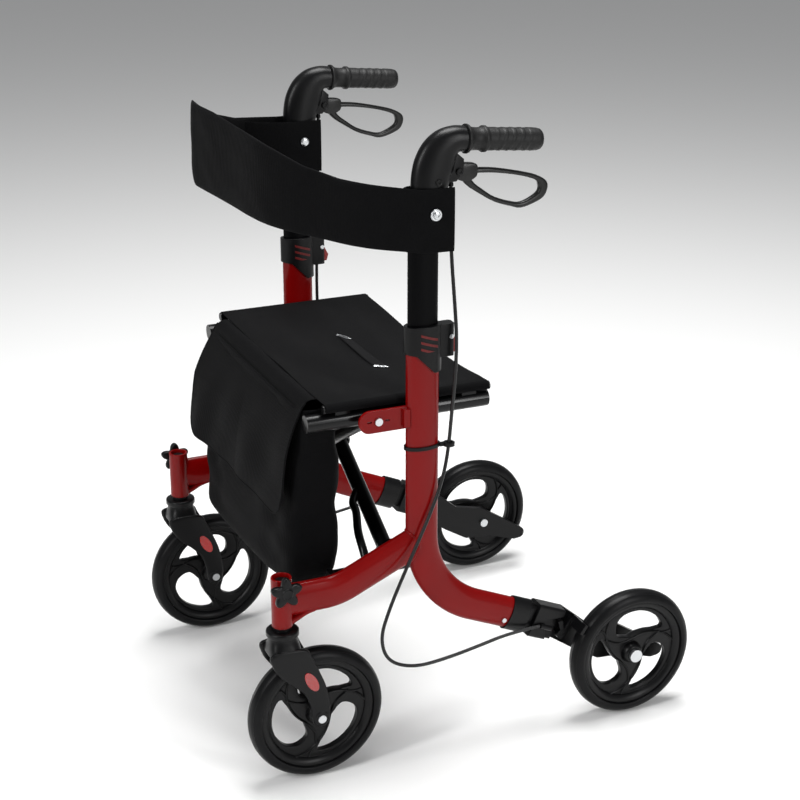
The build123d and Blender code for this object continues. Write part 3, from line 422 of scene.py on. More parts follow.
# Fasteners are zinc-plated steel, passivated bright: a cool grey metal with soft cloudy
# variation and turned marks too fine to see singly.
bright_zinc, tree, shader = new_material(
    "passivated_bright_zinc", Base_Color=srgb("#c9cbcd"), Metallic=1.0, Roughness=0.3
)
place = add_node(tree, "ShaderNodeTexCoord")
cloud = add_node(
    tree, "ShaderNodeTexNoise", {"Vector": place.outputs["Object"], "Scale": 160.0, "Detail": 3.0},
)
dull = add_node(tree, "ShaderNodeMapRange", {"Value": cloud.outputs["Fac"], "To Min": 0.2, "To Max": 0.42})
tree.links.new(dull.outputs["Result"], shader.inputs["Roughness"])
rounding = add_node(tree, "ShaderNodeBevel", {"Radius": 0.0006}, samples=4)
tree.links.new(rounding.outputs["Normal"], shader.inputs["Normal"])

for side, way in SIDES:
    paint(
        moulded_nylon, f"collar_{side}", f"rear_socket_{side}", f"frame_fittings_{side}",
        f"rear_bracket_{side}", f"brake_arm_{side}",
    )
    paint(stoved_black, f"cross_arm_{side}", f"seat_rail_{side}")
    paint(bright_zinc, f"frame_screws_{side}", f"rear_axle_{side}", f"front_axle_{side}")

# The collars' three slanting stripes are printed in a dark red lacquer; the latch levers in
# the collars' boxes are moulded in the same red, unpainted and a little duller.
stripe_lacquer, tree, shader = new_material(
    "dark_red_stripe_lacquer", Base_Color=srgb("#5c0d0c"), Roughness=0.38, Specular_IOR_Level=0.3
)
place = add_node(tree, "ShaderNodeTexCoord")
speck = add_node(
    tree, "ShaderNodeTexNoise", {"Vector": place.outputs["Object"], "Scale": 500.0, "Detail": 2.0},
)
dull = add_node(tree, "ShaderNodeMapRange", {"Value": speck.outputs["Fac"], "To Min": 0.3, "To Max": 0.48})
tree.links.new(dull.outputs["Result"], shader.inputs["Roughness"])
rounding = add_node(tree, "ShaderNodeBevel", {"Radius": 0.0003}, samples=4)
tree.links.new(rounding.outputs["Normal"], shader.inputs["Normal"])
latch_red, tree, shader = new_material("red_moulded_acetal", Base_Color=srgb("#8c1a14"), Roughness=0.4)
place = add_node(tree, "ShaderNodeTexCoord")
grain = add_node(
    tree, "ShaderNodeTexNoise", {"Vector": place.outputs["Object"], "Scale": 1200.0, "Detail": 2.0},
)
relief = add_node(
    tree, "ShaderNodeBump", {"Height": grain.outputs["Fac"], "Strength": 0.2, "Distance": 0.0002},
)
tree.links.new(relief.outputs["Normal"], shader.inputs["Normal"])
rounding = add_node(tree, "ShaderNodeBevel", {"Radius": 0.0008}, samples=4)
tree.links.new(rounding.outputs["Normal"], relief.inputs["Normal"])
for side, way in SIDES:
    paint(stripe_lacquer, f"collar_stripes_{side}")
    paint(latch_red, f"latch_lever_{side}")

# The handle tubes slide in the uprights: oval aluminium tube, anodised black, which is
# smoother and drier than paint and takes fine lengthways scratches where it slides.
anodised_black, tree, shader = new_material(
    "black_anodised_aluminium", Base_Color=srgb("#030304"), Metallic=0.0, Roughness=0.33,
    Specular_IOR_Level=0.06
)
place = add_node(tree, "ShaderNodeTexCoord")
stretched = add_node(
    tree, "ShaderNodeMapping", {"Vector": place.outputs["Object"], "Scale": (900.0, 900.0, 9.0)},
)
drawn = add_node(
    tree, "ShaderNodeTexNoise", {"Vector": stretched.outputs["Vector"], "Scale": 1.0, "Detail": 3.0},
)
dull = add_node(tree, "ShaderNodeMapRange", {"Value": drawn.outputs["Fac"], "To Min": 0.28, "To Max": 0.46})
tree.links.new(dull.outputs["Result"], shader.inputs["Roughness"])
relief = add_node(
    tree, "ShaderNodeBump", {"Height": drawn.outputs["Fac"], "Strength": 0.08, "Distance": 0.0002},
)
tree.links.new(relief.outputs["Normal"], shader.inputs["Normal"])
for side, way in SIDES:
    tube_line = np.linspace((UPRIGHT_Y, 0.470), (UPRIGHT_Y, 0.800), 24)
    make_piece(
        f"sliding_tube_{side}", [side_bar(way * FRAME_X, tube_line, 0.0219, 0.0104, turns=64)],
        anodised_black, f"handle_{side}", [f"handle_tube_{side}"],
    )

# The elbows join the handle tubes to the grips: nylon mouldings that turn from the upright
# oval to the round grip, with two cheeks behind that hold the brake lever's pivot.
ELBOW_STATIONS = (
    (-0.0760, 0.8000, 0.0250), (-0.0760, 0.8200, 0.0250), (-0.0765, 0.8360, 0.0255),
    (-0.0740, 0.8530, 0.0272),
    (-0.0695, 0.8685, 0.0282), (-0.0630, 0.8835, 0.0262), (-0.0535, 0.8945, 0.0222),
    (-0.0410, 0.9003, 0.0182), (-0.0270, 0.9005, 0.0166),
)
CHEEK = (
    (-0.060, 0.846), (-0.041, 0.846), (-0.031, 0.8555), (-0.030, 0.875), (-0.0405, 0.884), (-0.060, 0.884),
)
LEVER_PIVOT = (-0.037, 0.859)


def cut_plate(outlines, x_low, x_high, edge=0.001):
    """A plate in the plane x between two sides. The first (y, z) outline is its rim and the
    others are its holes; each rim is rounded by edge. Returns the points and the faces."""
    flat = bpy.data.curves.new("flat", "CURVE")
    flat.dimensions = "2D"
    flat.fill_mode = "BOTH"
    flat.extrude = (x_high - x_low) / 2 - edge
    flat.bevel_depth = edge
    flat.bevel_resolution = 2
    flat.offset = -edge
    for outline in outlines:
        spline = flat.splines.new("POLY")
        spline.points.add(len(outline) - 1)
        spline.points.foreach_set("co", np.insert(np.asarray(outline, float), 2, [[0.0], [1.0]], 1).ravel())
        spline.use_cyclic_u = True
    flat_object = bpy.data.objects.new("flat", flat)
    mesh = bpy.data.meshes.new_from_object(flat_object)
    bpy.data.objects.remove(flat_object)
    points = np.array([vertex.co for vertex in mesh.vertices])
    faces = [list(face.vertices) for face in mesh.polygons]
    points = np.stack([points[:, 2] + (x_low + x_high) / 2, points[:, 0], points[:, 1]], 1)
    return points, {"faces": faces}


elbow_line = smooth_line(ELBOW_STATIONS, parts=8)
for side, way in SIDES:
    x = way * FRAME_X
    cheeks = [cut_plate([CHEEK], x + way * a, x + way * b) for a, b in ((-0.0090, -0.0053), (0.0053, 0.0090))]
    make_piece(
        f"moulded_elbow_{side}",
        [
            side_bar(
                x, elbow_line[:, :2], elbow_line[:, 2], np.full(len(elbow_line), 0.0165), 2.15, turns=56,
            ),
            turned(
                (x, -0.045, 0.8388), (0, 0, 1),
                [(0, 0.0026), (0, 0.0036), (0.004, 0.0036), (0.0045, 0.0031), (0.012, 0.0031)], 24,
            ),
            *cheeks,
        ],
        moulded_nylon, f"handle_{side}", [f"elbow_{side}"],
    )

# A bolt with a bright domed head on a washer holds each end of the backrest and its strap. The
# lever's pivot and the elbow's screw have dark heads, each with a hexagon socket.
BOLT_AT = (-0.076, 0.808)
SCREW_HEAD = (
    (-0.0013, 0.0004), (-0.0013, 1.0), (0.0006, 1.0), (0.0013, 0.82), (0.0013, 0.42), (0.0003, 0.40),
    (0.0003, 0.02),
)
for side, way in SIDES:
    x = way * FRAME_X
    outer_head = turned((x, *BOLT_AT), (way, 0, 0), [
        (0.0210, 0.0005), (0.0210, 0.0080), (0.0234, 0.0080), (0.0240, 0.0074), (0.0240, 0.0051),
        (0.0262, 0.0050), (0.0272, 0.0043), (0.0275, 0.0034), (0.0275, 0.0024), (0.0260, 0.0022),
        (0.0260, 0.0004),
    ], 40)
    inner_head = turned((x, *BOLT_AT), (-way, 0, 0), [
        (0.0207, 0.0005), (0.0207, 0.0065), (0.0231, 0.0064), (0.0240, 0.0054), (0.0243, 0.0040),
        (0.0243, 0.0004),
    ], 40)
    make_piece(
        f"bright_band_bolts_{side}", [outer_head, inner_head], bright_zinc, f"handle_{side}",
        [f"handle_bolts_{side}"],
    )
    heads = []
    for at, axis, r in (
        ((x + 0.0104, *LEVER_PIVOT), (1, 0, 0), 0.0050), ((x - 0.0104, *LEVER_PIVOT), (-1, 0, 0), 0.0050),
        ((x + way * 0.0169, -0.070, 0.849), (way, 0, 0), 0.0045),
    ):
        heads.append(turned(at, axis, [(out, part * r) for out, part in SCREW_HEAD], 32))
    make_piece(
        f"dark_elbow_screws_{side}", heads, moulded_nylon, f"handle_{side}",
    )

# The grips are soft rubber pushed on the elbows' bars: a flange, a waist and a ring at the
# front, then a palm swell with shallow wavy furrows that stop the hand slipping.
GRIP_START = np.array((-0.027, 0.900))
GRIP_FALL = np.radians(4.9)
GRIP_PROFILE = (
    (0.0, 0.0150), (0.0, 0.0185), (0.0012, 0.0194), (0.003, 0.0195), (0.0048, 0.0188), (0.0068, 0.0165),
    (0.011, 0.0152), (0.018, 0.0149), (0.0235, 0.0153), (0.0252, 0.0170), (0.0262, 0.0175), (0.0298, 0.0175),
    (0.0308, 0.0169), (0.0325, 0.0155), (0.042, 0.0155), (0.070, 0.0157), (0.098, 0.0155), (0.106, 0.0150),
    (0.1105, 0.0139), (0.1126, 0.0120), (0.1130, 0.0080), (0.1130, 0.0008),
)
grip_rubber, tree, shader = new_material(
    "soft_black_rubber", Base_Color=srgb("#101010"), Roughness=0.5, Specular_IOR_Level=0.25,
)
place = add_node(tree, "ShaderNodeTexCoord")
bloom = add_node(
    tree, "ShaderNodeTexNoise", {"Vector": place.outputs["Object"], "Scale": 60.0, "Detail": 4.0},
)
tint = add_node(
    tree, "ShaderNodeMix", {0: bloom.outputs["Fac"], 6: srgb("#0d0d0d"), 7: srgb("#171717")},
    data_type="RGBA",
)
tree.links.new(tint.outputs[2], shader.inputs["Base Color"])
grain = add_node(
    tree, "ShaderNodeTexNoise", {"Vector": place.outputs["Object"], "Scale": 1100.0, "Detail": 2.0},
)
relief = add_node(
    tree, "ShaderNodeBump", {"Height": grain.outputs["Fac"], "Strength": 0.3, "Distance": 0.0002},
)
tree.links.new(relief.outputs["Normal"], shader.inputs["Normal"])
grip_profile = np.array(GRIP_PROFILE)
along = np.unique(np.concatenate([np.linspace(0.0325, 0.106, 148), grip_profile[:, 0]]))
grip_r = np.interp(along, grip_profile[:, 0], grip_profile[:, 1])
grip_rows = np.stack([along, grip_r], 1)
grip_rows = np.concatenate([grip_profile[:1], grip_rows[1:-1], grip_profile[-3:]])
for side, way in SIDES:
    axis = np.array((0, np.cos(GRIP_FALL), -np.sin(GRIP_FALL)))
    origin = np.array((way * FRAME_X, *GRIP_START))
    rubber = turned(origin, axis, grip_rows, 96)
    # A furrow's depth is 0.5 mm times a soft step of sin(run / 12 mm, bent by the angle round
    # the grip), and it fades out at both ends of the palm.
    run = grip_rows[:, :1]
    angle = np.linspace(0, 2 * np.pi, 96, endpoint=False)[None]
    wave = np.sin(2 * np.pi * run / 0.0125 + 1.5 * np.sin(angle) + 0.7 * np.sin(2 * angle))
    fade = np.clip((run - 0.040) / 0.008, 0, 1) * np.clip((0.099 - run) / 0.008, 0, 1)
    depth = 0.0005 * fade * (0.5 - 0.5 * np.tanh(3 * wave - 1.2))
    centre = origin + grip_rows[:, :1, None] * axis
    spoke = rubber - centre
    rubber = centre + spoke * (1 - depth / np.linalg.norm(spoke, axis=2))[..., None]
    make_piece(
        f"rubber_grip_{side}", [rubber], grip_rubber, f"handle_{side}", [f"grip_{side}"], 50,
    )

# The brake levers: die-cast loops, painted dark grey, that hinge between the elbows' cheeks.
# The fingers pull the lower bar up to brake.
LOOP_OUTER = (
    (-0.037, 0.8650), (-0.012, 0.8610), (0.017, 0.8580), (0.055, 0.8500), (0.081, 0.8425), (0.096, 0.8330),
    (0.097, 0.8205), (0.088, 0.8090), (0.060, 0.8000), (0.041, 0.8040), (0.018, 0.8120), (-0.004, 0.8250),
    (-0.019, 0.8350), (-0.030, 0.8450), (-0.039, 0.8500),
)
LOOP_INNER = (
    (-0.017, 0.8520), (0.010, 0.8520), (0.047, 0.8460), (0.076, 0.8375), (0.084, 0.8300), (0.082, 0.8185),
    (0.060, 0.8080), (0.041, 0.8105), (0.018, 0.8190), (0.000, 0.8310), (-0.013, 0.8415),
)
LEVER_HEAD = ((-0.040, 0.851), (-0.033, 0.8455), (-0.020, 0.844), (-0.009, 0.850), (-0.008, 0.863),
              (-0.014, 0.8672), (-0.030, 0.8685), (-0.0375, 0.8665), (-0.041, 0.860))
lever_paint, tree, shader = new_material(
    "dark_grey_cast_paint", Base_Color=srgb("#111110"), Roughness=0.3, Specular_IOR_Level=0.3
)
place = add_node(tree, "ShaderNodeTexCoord")
rub = add_node(tree, "ShaderNodeTexNoise", {"Vector": place.outputs["Object"], "Scale": 45.0, "Detail": 4.0})
tint = add_node(
    tree, "ShaderNodeMix", {0: rub.outputs["Fac"], 6: srgb("#0e0e0e"), 7: srgb("#181817")}, data_type="RGBA",
)
tree.links.new(tint.outputs[2], shader.inputs["Base Color"])
skin = add_node(
    tree, "ShaderNodeTexNoise", {"Vector": place.outputs["Object"], "Scale": 700.0, "Detail": 2.0},
)
relief = add_node(
    tree, "ShaderNodeBump", {"Height": skin.outputs["Fac"], "Strength": 0.18, "Distance": 0.0003},
)
tree.links.new(relief.outputs["Normal"], shader.inputs["Normal"])
loop_rims = [smooth_line(LOOP_OUTER, closed=True, parts=8), smooth_line(LOOP_INNER, closed=True, parts=8)]
for side, way in SIDES:
    x = way * FRAME_X
    loop = cut_plate(loop_rims, x - 0.0048, x + 0.0048, 0.0030)
    head = cut_plate([smooth_line(LEVER_HEAD, closed=True, parts=5)], x - 0.0049, x + 0.0049, 0.0015)
    make_piece(
        f"brake_loop_{side}", [loop, head], lever_paint, f"brake_lever_{side}", [f"brake_lever_{side}"],
        50,
    )

# Star knobs clamp the casters' stems: five-lobed nylon knobs with a raised boss, on the outer
# side of each head tube.
KNOB_Z = 0.304
for side, way in SIDES:
    # The outline's radius is 13 mm plus 9.5 mm times a rounded cosine of five times the angle.
    turn = np.linspace(0, 2 * np.pi, 100, endpoint=False)
    lobe = (0.5 + 0.5 * np.cos(5 * (turn - np.pi / 2))) ** 0.75
    r = 0.0130 + 0.0098 * lobe
    outline = np.stack([HEAD_Y + r * np.cos(turn), KNOB_Z + r * np.sin(turn)], 1)
    x_in, x_out = way * (FRAME_X + HEAD_R + 0.001), way * (FRAME_X + HEAD_R + 0.011)
    star = cut_plate([outline], min(x_in, x_out), max(x_in, x_out), 0.003)
    boss = turned(
        (way * (FRAME_X + HEAD_R), HEAD_Y, KNOB_Z), (way, 0, 0),
        [
            (-0.006, 0.0008), (-0.006, 0.004), (0.002, 0.0042), (0.0108, 0.0085), (0.0125, 0.0078),
            (0.0133, 0.0066), (0.0128, 0.0050), (0.0128, 0.0006),
        ],
        40,
    )
    make_piece(
        f"clamp_knob_{side}", [star, boss], moulded_nylon, f"knob_{side}", [f"star_knob_{side}"],
        40,
    )

# Wheels: a moulded nylon rim, whose disc has three curved openings and raised ribs that part
# near the rim, and a solid polyurethane tyre pushed on it, with a groove where they meet.
WHEEL_R = 0.100
HUBS = {"front": (0.2415, -0.248), "rear": (0.272, 0.248)}
OPENING = (
    (8, 0.0400), (4, 0.0490), (-5, 0.0590), (-18, 0.0650), (-37, 0.0670), (-55, 0.0670), (-73, 0.0660),
    (-86, 0.0640),
    (-90, 0.0600), (-87, 0.0540), (-78, 0.0430), (-60, 0.0330), (-30, 0.0245), (-8, 0.0280), (4, 0.0335),
)
RIB = (
    (-0.046, 0.0290), (-0.026, 0.0200), (-0.008, 0.0205), (0.013, 0.0265), (0.034, 0.0270),
    (0.054, 0.0215), (0.068, 0.0225),
)
RIB_BRANCH = ((0.052, 0.0218), (0.063, 0.0150), (0.073, 0.0040))
RIM_PROFILE = (
    (-0.0120, 0.0835), (-0.0126, 0.0815), (-0.0122, 0.0785), (-0.0105, 0.0755), (-0.0080, 0.0730),
    (-0.0060, 0.0718),
    (0.0060, 0.0718), (0.0080, 0.0730), (0.0105, 0.0755), (0.0122, 0.0785), (0.0126, 0.0815),
    (0.0120, 0.0835),
)
HUB_PROFILE = (
    (-0.0170, 0.0040), (-0.0170, 0.0120), (-0.0163, 0.0135), (-0.0120, 0.0158), (-0.0060, 0.0172),
    (0.0, 0.0175), (0.0060, 0.0172), (0.0120, 0.0158), (0.0163, 0.0135), (0.0170, 0.0120), (0.0170, 0.0040),
)
TYRE_PROFILE = (
    (-0.0135, 0.0838), (-0.0150, 0.0846), (-0.0159, 0.0866), (-0.0160, 0.0885), (-0.0153, 0.0912),
    (-0.0137, 0.0943),
    (-0.0112, 0.0967), (-0.0108, 0.0967), (-0.0080, 0.0984), (-0.0044, 0.0995), (-0.0005, 0.0999),
    (0.0, 0.10005),
    (0.0005, 0.0999), (0.0044, 0.0995), (0.0080, 0.0984), (0.0108, 0.0967), (0.0112, 0.0967),
    (0.0137, 0.0943),
    (0.0153, 0.0912), (0.0160, 0.0885), (0.0159, 0.0866), (0.0150, 0.0846), (0.0135, 0.0838),
)
tyre_rubber, tree, shader = new_material(
    "black_polyurethane_tread", Base_Color=srgb("#0b0b0c"), Roughness=0.36, Specular_IOR_Level=0.12,
)
place = add_node(tree, "ShaderNodeTexCoord")
scuff = add_node(
    tree, "ShaderNodeTexNoise", {"Vector": place.outputs["Object"], "Scale": 55.0, "Detail": 5.0},
)
dull = add_node(tree, "ShaderNodeMapRange", {"Value": scuff.outputs["Fac"], "To Min": 0.26, "To Max": 0.44})
tree.links.new(dull.outputs["Result"], shader.inputs["Roughness"])
tint = add_node(
    tree, "ShaderNodeMix", {0: scuff.outputs["Fac"], 6: srgb("#0a0a0b"), 7: srgb("#121213")},
    data_type="RGBA",
)
tree.links.new(tint.outputs[2], shader.inputs["Base Color"])
relief = add_node(
    tree, "ShaderNodeBump", {"Height": scuff.outputs["Fac"], "Strength": 0.1, "Distance": 0.0005},
)
tree.links.new(relief.outputs["Normal"], shader.inputs["Normal"])


def round_wheel(flat, times, hub):
    """Turns (y, z) points about the hub by times thirds of a circle, and moves them there."""
    turn = 2 * np.pi / 3 * times
    y, z = flat[..., 0], flat[..., 1]
    return np.stack(
        [hub[0] + y * np.cos(turn) - z * np.sin(turn), hub[1] + y * np.sin(turn) + z * np.cos(turn)], -1,
    )


spread = np.array(OPENING)
spread = np.stack([np.cos(np.radians(spread[:, 0])), np.sin(np.radians(spread[:, 0]))], 1) * spread[:, 1:]
opening = smooth_line(spread, closed=True, parts=6)
ribs = [smooth_line(RIB, parts=6), smooth_line(RIB_BRANCH, parts=6)]
rim_turn = np.linspace(0, 2 * np.pi, 96, endpoint=False)
web_rim = 0.0735 * np.stack([np.cos(rim_turn), np.sin(rim_turn)], 1)
for side, way in SIDES:
    for end, (hub_x, hub_y) in HUBS.items():
        x = way * hub_x
        hub = (hub_y, WHEEL_R)
        body = f"{end}_wheel_{side}"
        swirl = np.array((way, 1.0))
        holes = [round_wheel(opening, times, (0, 0)) * swirl + hub for times in range(3)]
        spokes = [cut_plate([web_rim + hub, *holes], x - 0.0056, x + 0.0056, 0.0016)]
        for times in range(3):
            for rib in ribs:
                spokes.append(
                    side_bar(x, round_wheel(rib, times, (0, 0)) * swirl + hub, 0.0022, 0.0080, 2.3, turns=20)
                )
        ring = (turned((x, *hub), (1, 0, 0), RIM_PROFILE, 128), {"wrap_rows": True})
        boss = turned((x, *hub), (1, 0, 0), HUB_PROFILE, 56)
        make_piece(
            f"{end}_spoked_rim_{side}", [ring, boss, *spokes], moulded_nylon, body, [f"{end}_rim_{side}"],
            40,
        )
        tread = (turned((x, *hub), (1, 0, 0), TYRE_PROFILE, 160), {"wrap_rows": True})
        make_piece(
            f"{end}_tyre_band_{side}", [tread], tyre_rubber, body, [f"{end}_tyre_{side}"], 30,
        )

# Caster forks: one nylon moulding with a round cap, a swelling crown and two raked legs that
# hold the front axle, on a steel stem.
FORK_GAP = 0.0185
LEG_T = 0.007
CAP_TOP = 0.240
FORK_LEG = (
    (-0.3165, 0.2140), (-0.3175, 0.1960), (-0.3040, 0.1740), (-0.2860, 0.1580), (-0.2720, 0.1420),
    (-0.2635, 0.1200),
    (-0.2605, 0.0980), (-0.2570, 0.0900), (-0.2480, 0.0862), (-0.2395, 0.0900), (-0.2355, 0.0980),
    (-0.2345, 0.1180), (-0.2395, 0.1480), (-0.2490, 0.1740), (-0.2600, 0.2000), (-0.2715, 0.2140),
)
fork_leg = smooth_line(FORK_LEG, closed=True, parts=6)
for side, way in SIDES:
    x = way * FRAME_X
    cap = turned((x, HEAD_Y, CAP_TOP), (0, 0, 1), [
        (0.0046, 0.0095), (0.0046, 0.0112), (0.0040, 0.0120), (0.0, 0.0122), (-0.0002, 0.0212),
        (-0.0012, 0.0226), (-0.0024, 0.0230), (-0.0078, 0.0230), (-0.0088, 0.0224), (-0.0090, 0.0205),
    ], 72)
    # The crown's sections change from a circle to a rounded box: a superellipse whose half
    # sizes and power all follow the same smooth step down the crown.
    down = np.linspace(0, 1, 14)[:, None]
    step = down**2 * (3 - 2 * down)
    angle = np.linspace(0, 2 * np.pi, 72, endpoint=False)[None]
    power = 2 + 1.6 * step
    half_x = 0.0200 + (FORK_GAP + LEG_T - 0.0205) * step
    half_y = 0.0200 + 0.0030 * step
    c, s = np.cos(angle), np.sin(angle)
    crown = np.stack([
        x + half_x * np.sign(c) * np.abs(c) ** (2 / power),
        HEAD_Y + half_y * np.sign(s) * np.abs(s) ** (2 / power),
        np.broadcast_to(CAP_TOP - 0.009 - 0.0255 * down, (14, 72)),
    ], -1)
    stem = turned(
        (x, HEAD_Y, CAP_TOP), (0, 0, 1),
        [(0.0, 0.0010), (0.0, 0.0090), (0.0740, 0.0090), (0.0750, 0.0080), (0.0750, 0.0010)], 32,
    )
    legs = []
    for face in (-1, 1):
        near, far = x + face * FORK_GAP, x + face * (FORK_GAP + LEG_T + 0.0006)
        legs.append(cut_plate([fork_leg], min(near, far), max(near, far), 0.0031))
        legs.append(
            turned(
                (x + face * (FORK_GAP + 0.0002), -0.248, 0.100), (face, 0, 0),
                [(0, 0.0042), (0, 0.0112), (0.0074, 0.0112), (0.0084, 0.0102), (0.0084, 0.0042)], 40,
            )
        )
    make_piece(
        f"swivel_fork_{side}", [cap, crown, stem, *legs], moulded_nylon, f"caster_{side}",
        [f"caster_fork_{side}"], 40,
    )

# Reflectors: oval lenses of red acrylic pressed into the fork legs. Fine prisms moulded on
# their backs catch the light; here they stand 1.6 mm apart, wider than real so that they show.
reflector_red, tree, shader = new_material(
    "red_prismatic_acrylic", Base_Color=srgb("#c2140f"), Roughness=0.12, IOR=1.49, Coat_Weight=1.0,
    Coat_Roughness=0.04
)
place = add_node(tree, "ShaderNodeTexCoord")
prisms = add_node(
    tree, "ShaderNodeTexVoronoi", {"Vector": place.outputs["Object"], "Scale": 620.0, "Randomness": 0.0},
    feature="DISTANCE_TO_EDGE",
)
relief = add_node(
    tree, "ShaderNodeBump", {"Height": prisms.outputs["Distance"], "Strength": 0.7, "Distance": 0.0006},
)
tree.links.new(relief.outputs["Normal"], shader.inputs["Normal"])
# Painted glint: each prism's base colour runs from dark red at its edges to bright red in its middle,
# standing in for the light the prisms catch.
prism_glint_painted = add_node(
    tree, "ShaderNodeMapRange",
    {"Value": prisms.outputs["Distance"], "From Max": 0.4, "To Min": 0.0, "To Max": 1.0},
)
tint = add_node(
    tree, "ShaderNodeMix", {0: prism_glint_painted.outputs["Result"], 6: srgb("#8f0c0a"), 7: srgb("#d4241b")},
    data_type="RGBA",
)
tree.links.new(tint.outputs[2], shader.inputs["Base Color"])
paint(reflector_red, "reflectors_left", "reflectors_right")

# Brake cables: a steel inner wire in a black PVC jacket, from the lever down the upright,
# through the clip, round in a slack loop under the front leg and back to the brake.
CABLE_ROUTE = (
    (0.2415, -0.045, 0.838), (0.243, -0.0455, 0.795), (0.247, -0.0455, 0.745), (0.254, -0.044, 0.692),
    (0.262, -0.043, 0.636), (0.262, -0.0445, 0.580), (0.256, -0.0465, 0.527), (0.2505, -0.0475, 0.478),
    (0.253, -0.056, 0.433), (0.260, -0.077, 0.387), (0.266, -0.102, 0.342), (0.268, -0.125, 0.296),
    (0.267, -0.145, 0.249), (0.265, -0.158, 0.205), (0.264, -0.146, 0.165), (0.263, -0.104, 0.146),
    (0.262, -0.052, 0.149), (0.261, 0.0, 0.157), (0.260, 0.050, 0.166), (0.2596, 0.099, 0.1667),
)
cable_jacket, tree, shader = new_material(
    "black_pvc_jacket", Base_Color=srgb("#0a0a0b"), Roughness=0.36, Specular_IOR_Level=0.35,
)
place = add_node(tree, "ShaderNodeTexCoord")
haze = add_node(tree, "ShaderNodeTexNoise", {"Vector": place.outputs["Object"], "Scale": 90.0, "Detail": 3.0})
dull = add_node(tree, "ShaderNodeMapRange", {"Value": haze.outputs["Fac"], "To Min": 0.3, "To Max": 0.46})
tree.links.new(dull.outputs["Result"], shader.inputs["Roughness"])
relief = add_node(
    tree, "ShaderNodeBump", {"Height": haze.outputs["Fac"], "Strength": 0.05, "Distance": 0.0003},
)
tree.links.new(relief.outputs["Normal"], shader.inputs["Normal"])


def route_curve(name, route):
    """A quadratic NURBS through its end points, pulled towards each point of the route."""
    curve = bpy.data.curves.new(name, "CURVE")
    curve.dimensions = "3D"
    spline = curve.splines.new("NURBS")
    spline.points.add(len(route) - 1)
    for point, at in zip(spline.points, route):
        point.co = (*at, 1.0)
    spline.order_u = 3
    spline.use_endpoint_u = True
    spline.resolution_u = 10
    return curve


for side, way in SIDES:
    curve = route_curve(f"brake_cable_line_{side}", [(way * x, y, z) for x, y, z in CABLE_ROUTE])
    line_object = bpy.data.objects.new(f"brake_cable_line_{side}", curve)
    line_mesh = bpy.data.meshes.new_from_object(line_object)
    path = np.empty(len(line_mesh.vertices) * 3)
    line_mesh.vertices.foreach_get("co", path)
    path = path.reshape(-1, 3)
    bpy.data.objects.remove(line_object)
    cable = make_piece(
        f"jacketed_cable_{side}", [tube(path, 0.0025, 16)], cable_jacket, None, [f"brake_cable_{side}"],
    )
    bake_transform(cable)

# The seat: a panel of coated nylon cloth, hemmed round both rails and pulled tight, so it
# sags a little in the middle. Two bound slits hold a webbing strap that lifts it to fold.
RAIL_X = 0.2205
RAIL_Z = 0.5435
SEAT_FRONT = -0.220
SEAT_REAR = 0.025
SEAT_SAG = 0.009


def cloth_material(name, colour, light, thread, sheen):
    """Plain-woven cloth: two crossed sine relief patterns, a thread apart, with uneven yarns
    and handling, and slow painted shade standing in for folds, in one noise tint. A real thread is 0.4 mm,
    drawn coarser to show."""
    made, tree, shader = new_material(
        name, Base_Color=srgb(colour), Roughness=0.8, Specular_IOR_Level=0.06, Sheen_Weight=sheen,
        Sheen_Roughness=0.4,
    )
    place = add_node(tree, "ShaderNodeTexCoord")
    warp = add_node(
        tree, "ShaderNodeTexWave",
        {"Vector": place.outputs["Object"], "Scale": 0.314 / thread, "Distortion": 0.6, "Detail": 1.0},
        bands_direction="X",
    )
    weft_axis = add_node(
        tree, "ShaderNodeMapping", {"Vector": place.outputs["Object"], "Rotation": (0.0, 0.9, 0.0)},
    )
    weft = add_node(
        tree, "ShaderNodeTexWave",
        {"Vector": weft_axis.outputs["Vector"], "Scale": 0.314 / thread, "Distortion": 0.6, "Detail": 1.0},
        bands_direction="Z",
    )
    cross = add_node(
        tree, "ShaderNodeTexWave",
        {"Vector": place.outputs["Object"], "Scale": 0.314 / thread, "Distortion": 0.6, "Detail": 1.0},
        bands_direction="Y",
    )
    woven = add_node(
        tree, "ShaderNodeMath", {0: warp.outputs["Fac"], 1: weft.outputs["Fac"]}, operation="MULTIPLY",
    )
    woven = add_node(tree, "ShaderNodeMath", {0: woven.outputs[0], 1: cross.outputs["Fac"]}, operation="ADD")
    relief = add_node(
        tree, "ShaderNodeBump", {"Height": woven.outputs[0], "Strength": 0.35, "Distance": 0.0004},
    )
    tree.links.new(relief.outputs["Normal"], shader.inputs["Normal"])
    # The noise tint is partly uneven yarns and handling, and partly painted shade from folds.
    slub_and_painted_fold_shade = add_node(
        tree, "ShaderNodeTexNoise",
        {"Vector": place.outputs["Object"], "Scale": 28.0, "Detail": 6.0, "Roughness": 0.65},
    )
    tint = add_node(
        tree, "ShaderNodeMix", {0: slub_and_painted_fold_shade.outputs["Fac"], 6: srgb(colour), 7: srgb(light)}, data_type="RGBA",
    )
    tree.links.new(tint.outputs[2], shader.inputs["Base Color"])
    return made


def folds(points, directions, lengths, heights, seed):
    """A sum of sine waves over the points, each with a direction, a length and a phase from the
    seed, and bent by one another so that no fold runs straight."""
    rng = np.random.default_rng(seed)
    total = np.zeros(points.shape[:-1])
    for direction, length, height in zip(directions, lengths, heights):
        phase = rng.uniform(0, 2 * np.pi, 2)
        bend = 0.9 * np.sin(
            points @ np.roll(np.asarray(direction, float), 1) * 2 * np.pi / (3.1 * length) + phase[1]
        )
        total += height * np.sin(points @ np.asarray(direction, float) * 2 * np.pi / length + phase[0] + bend)
    return total


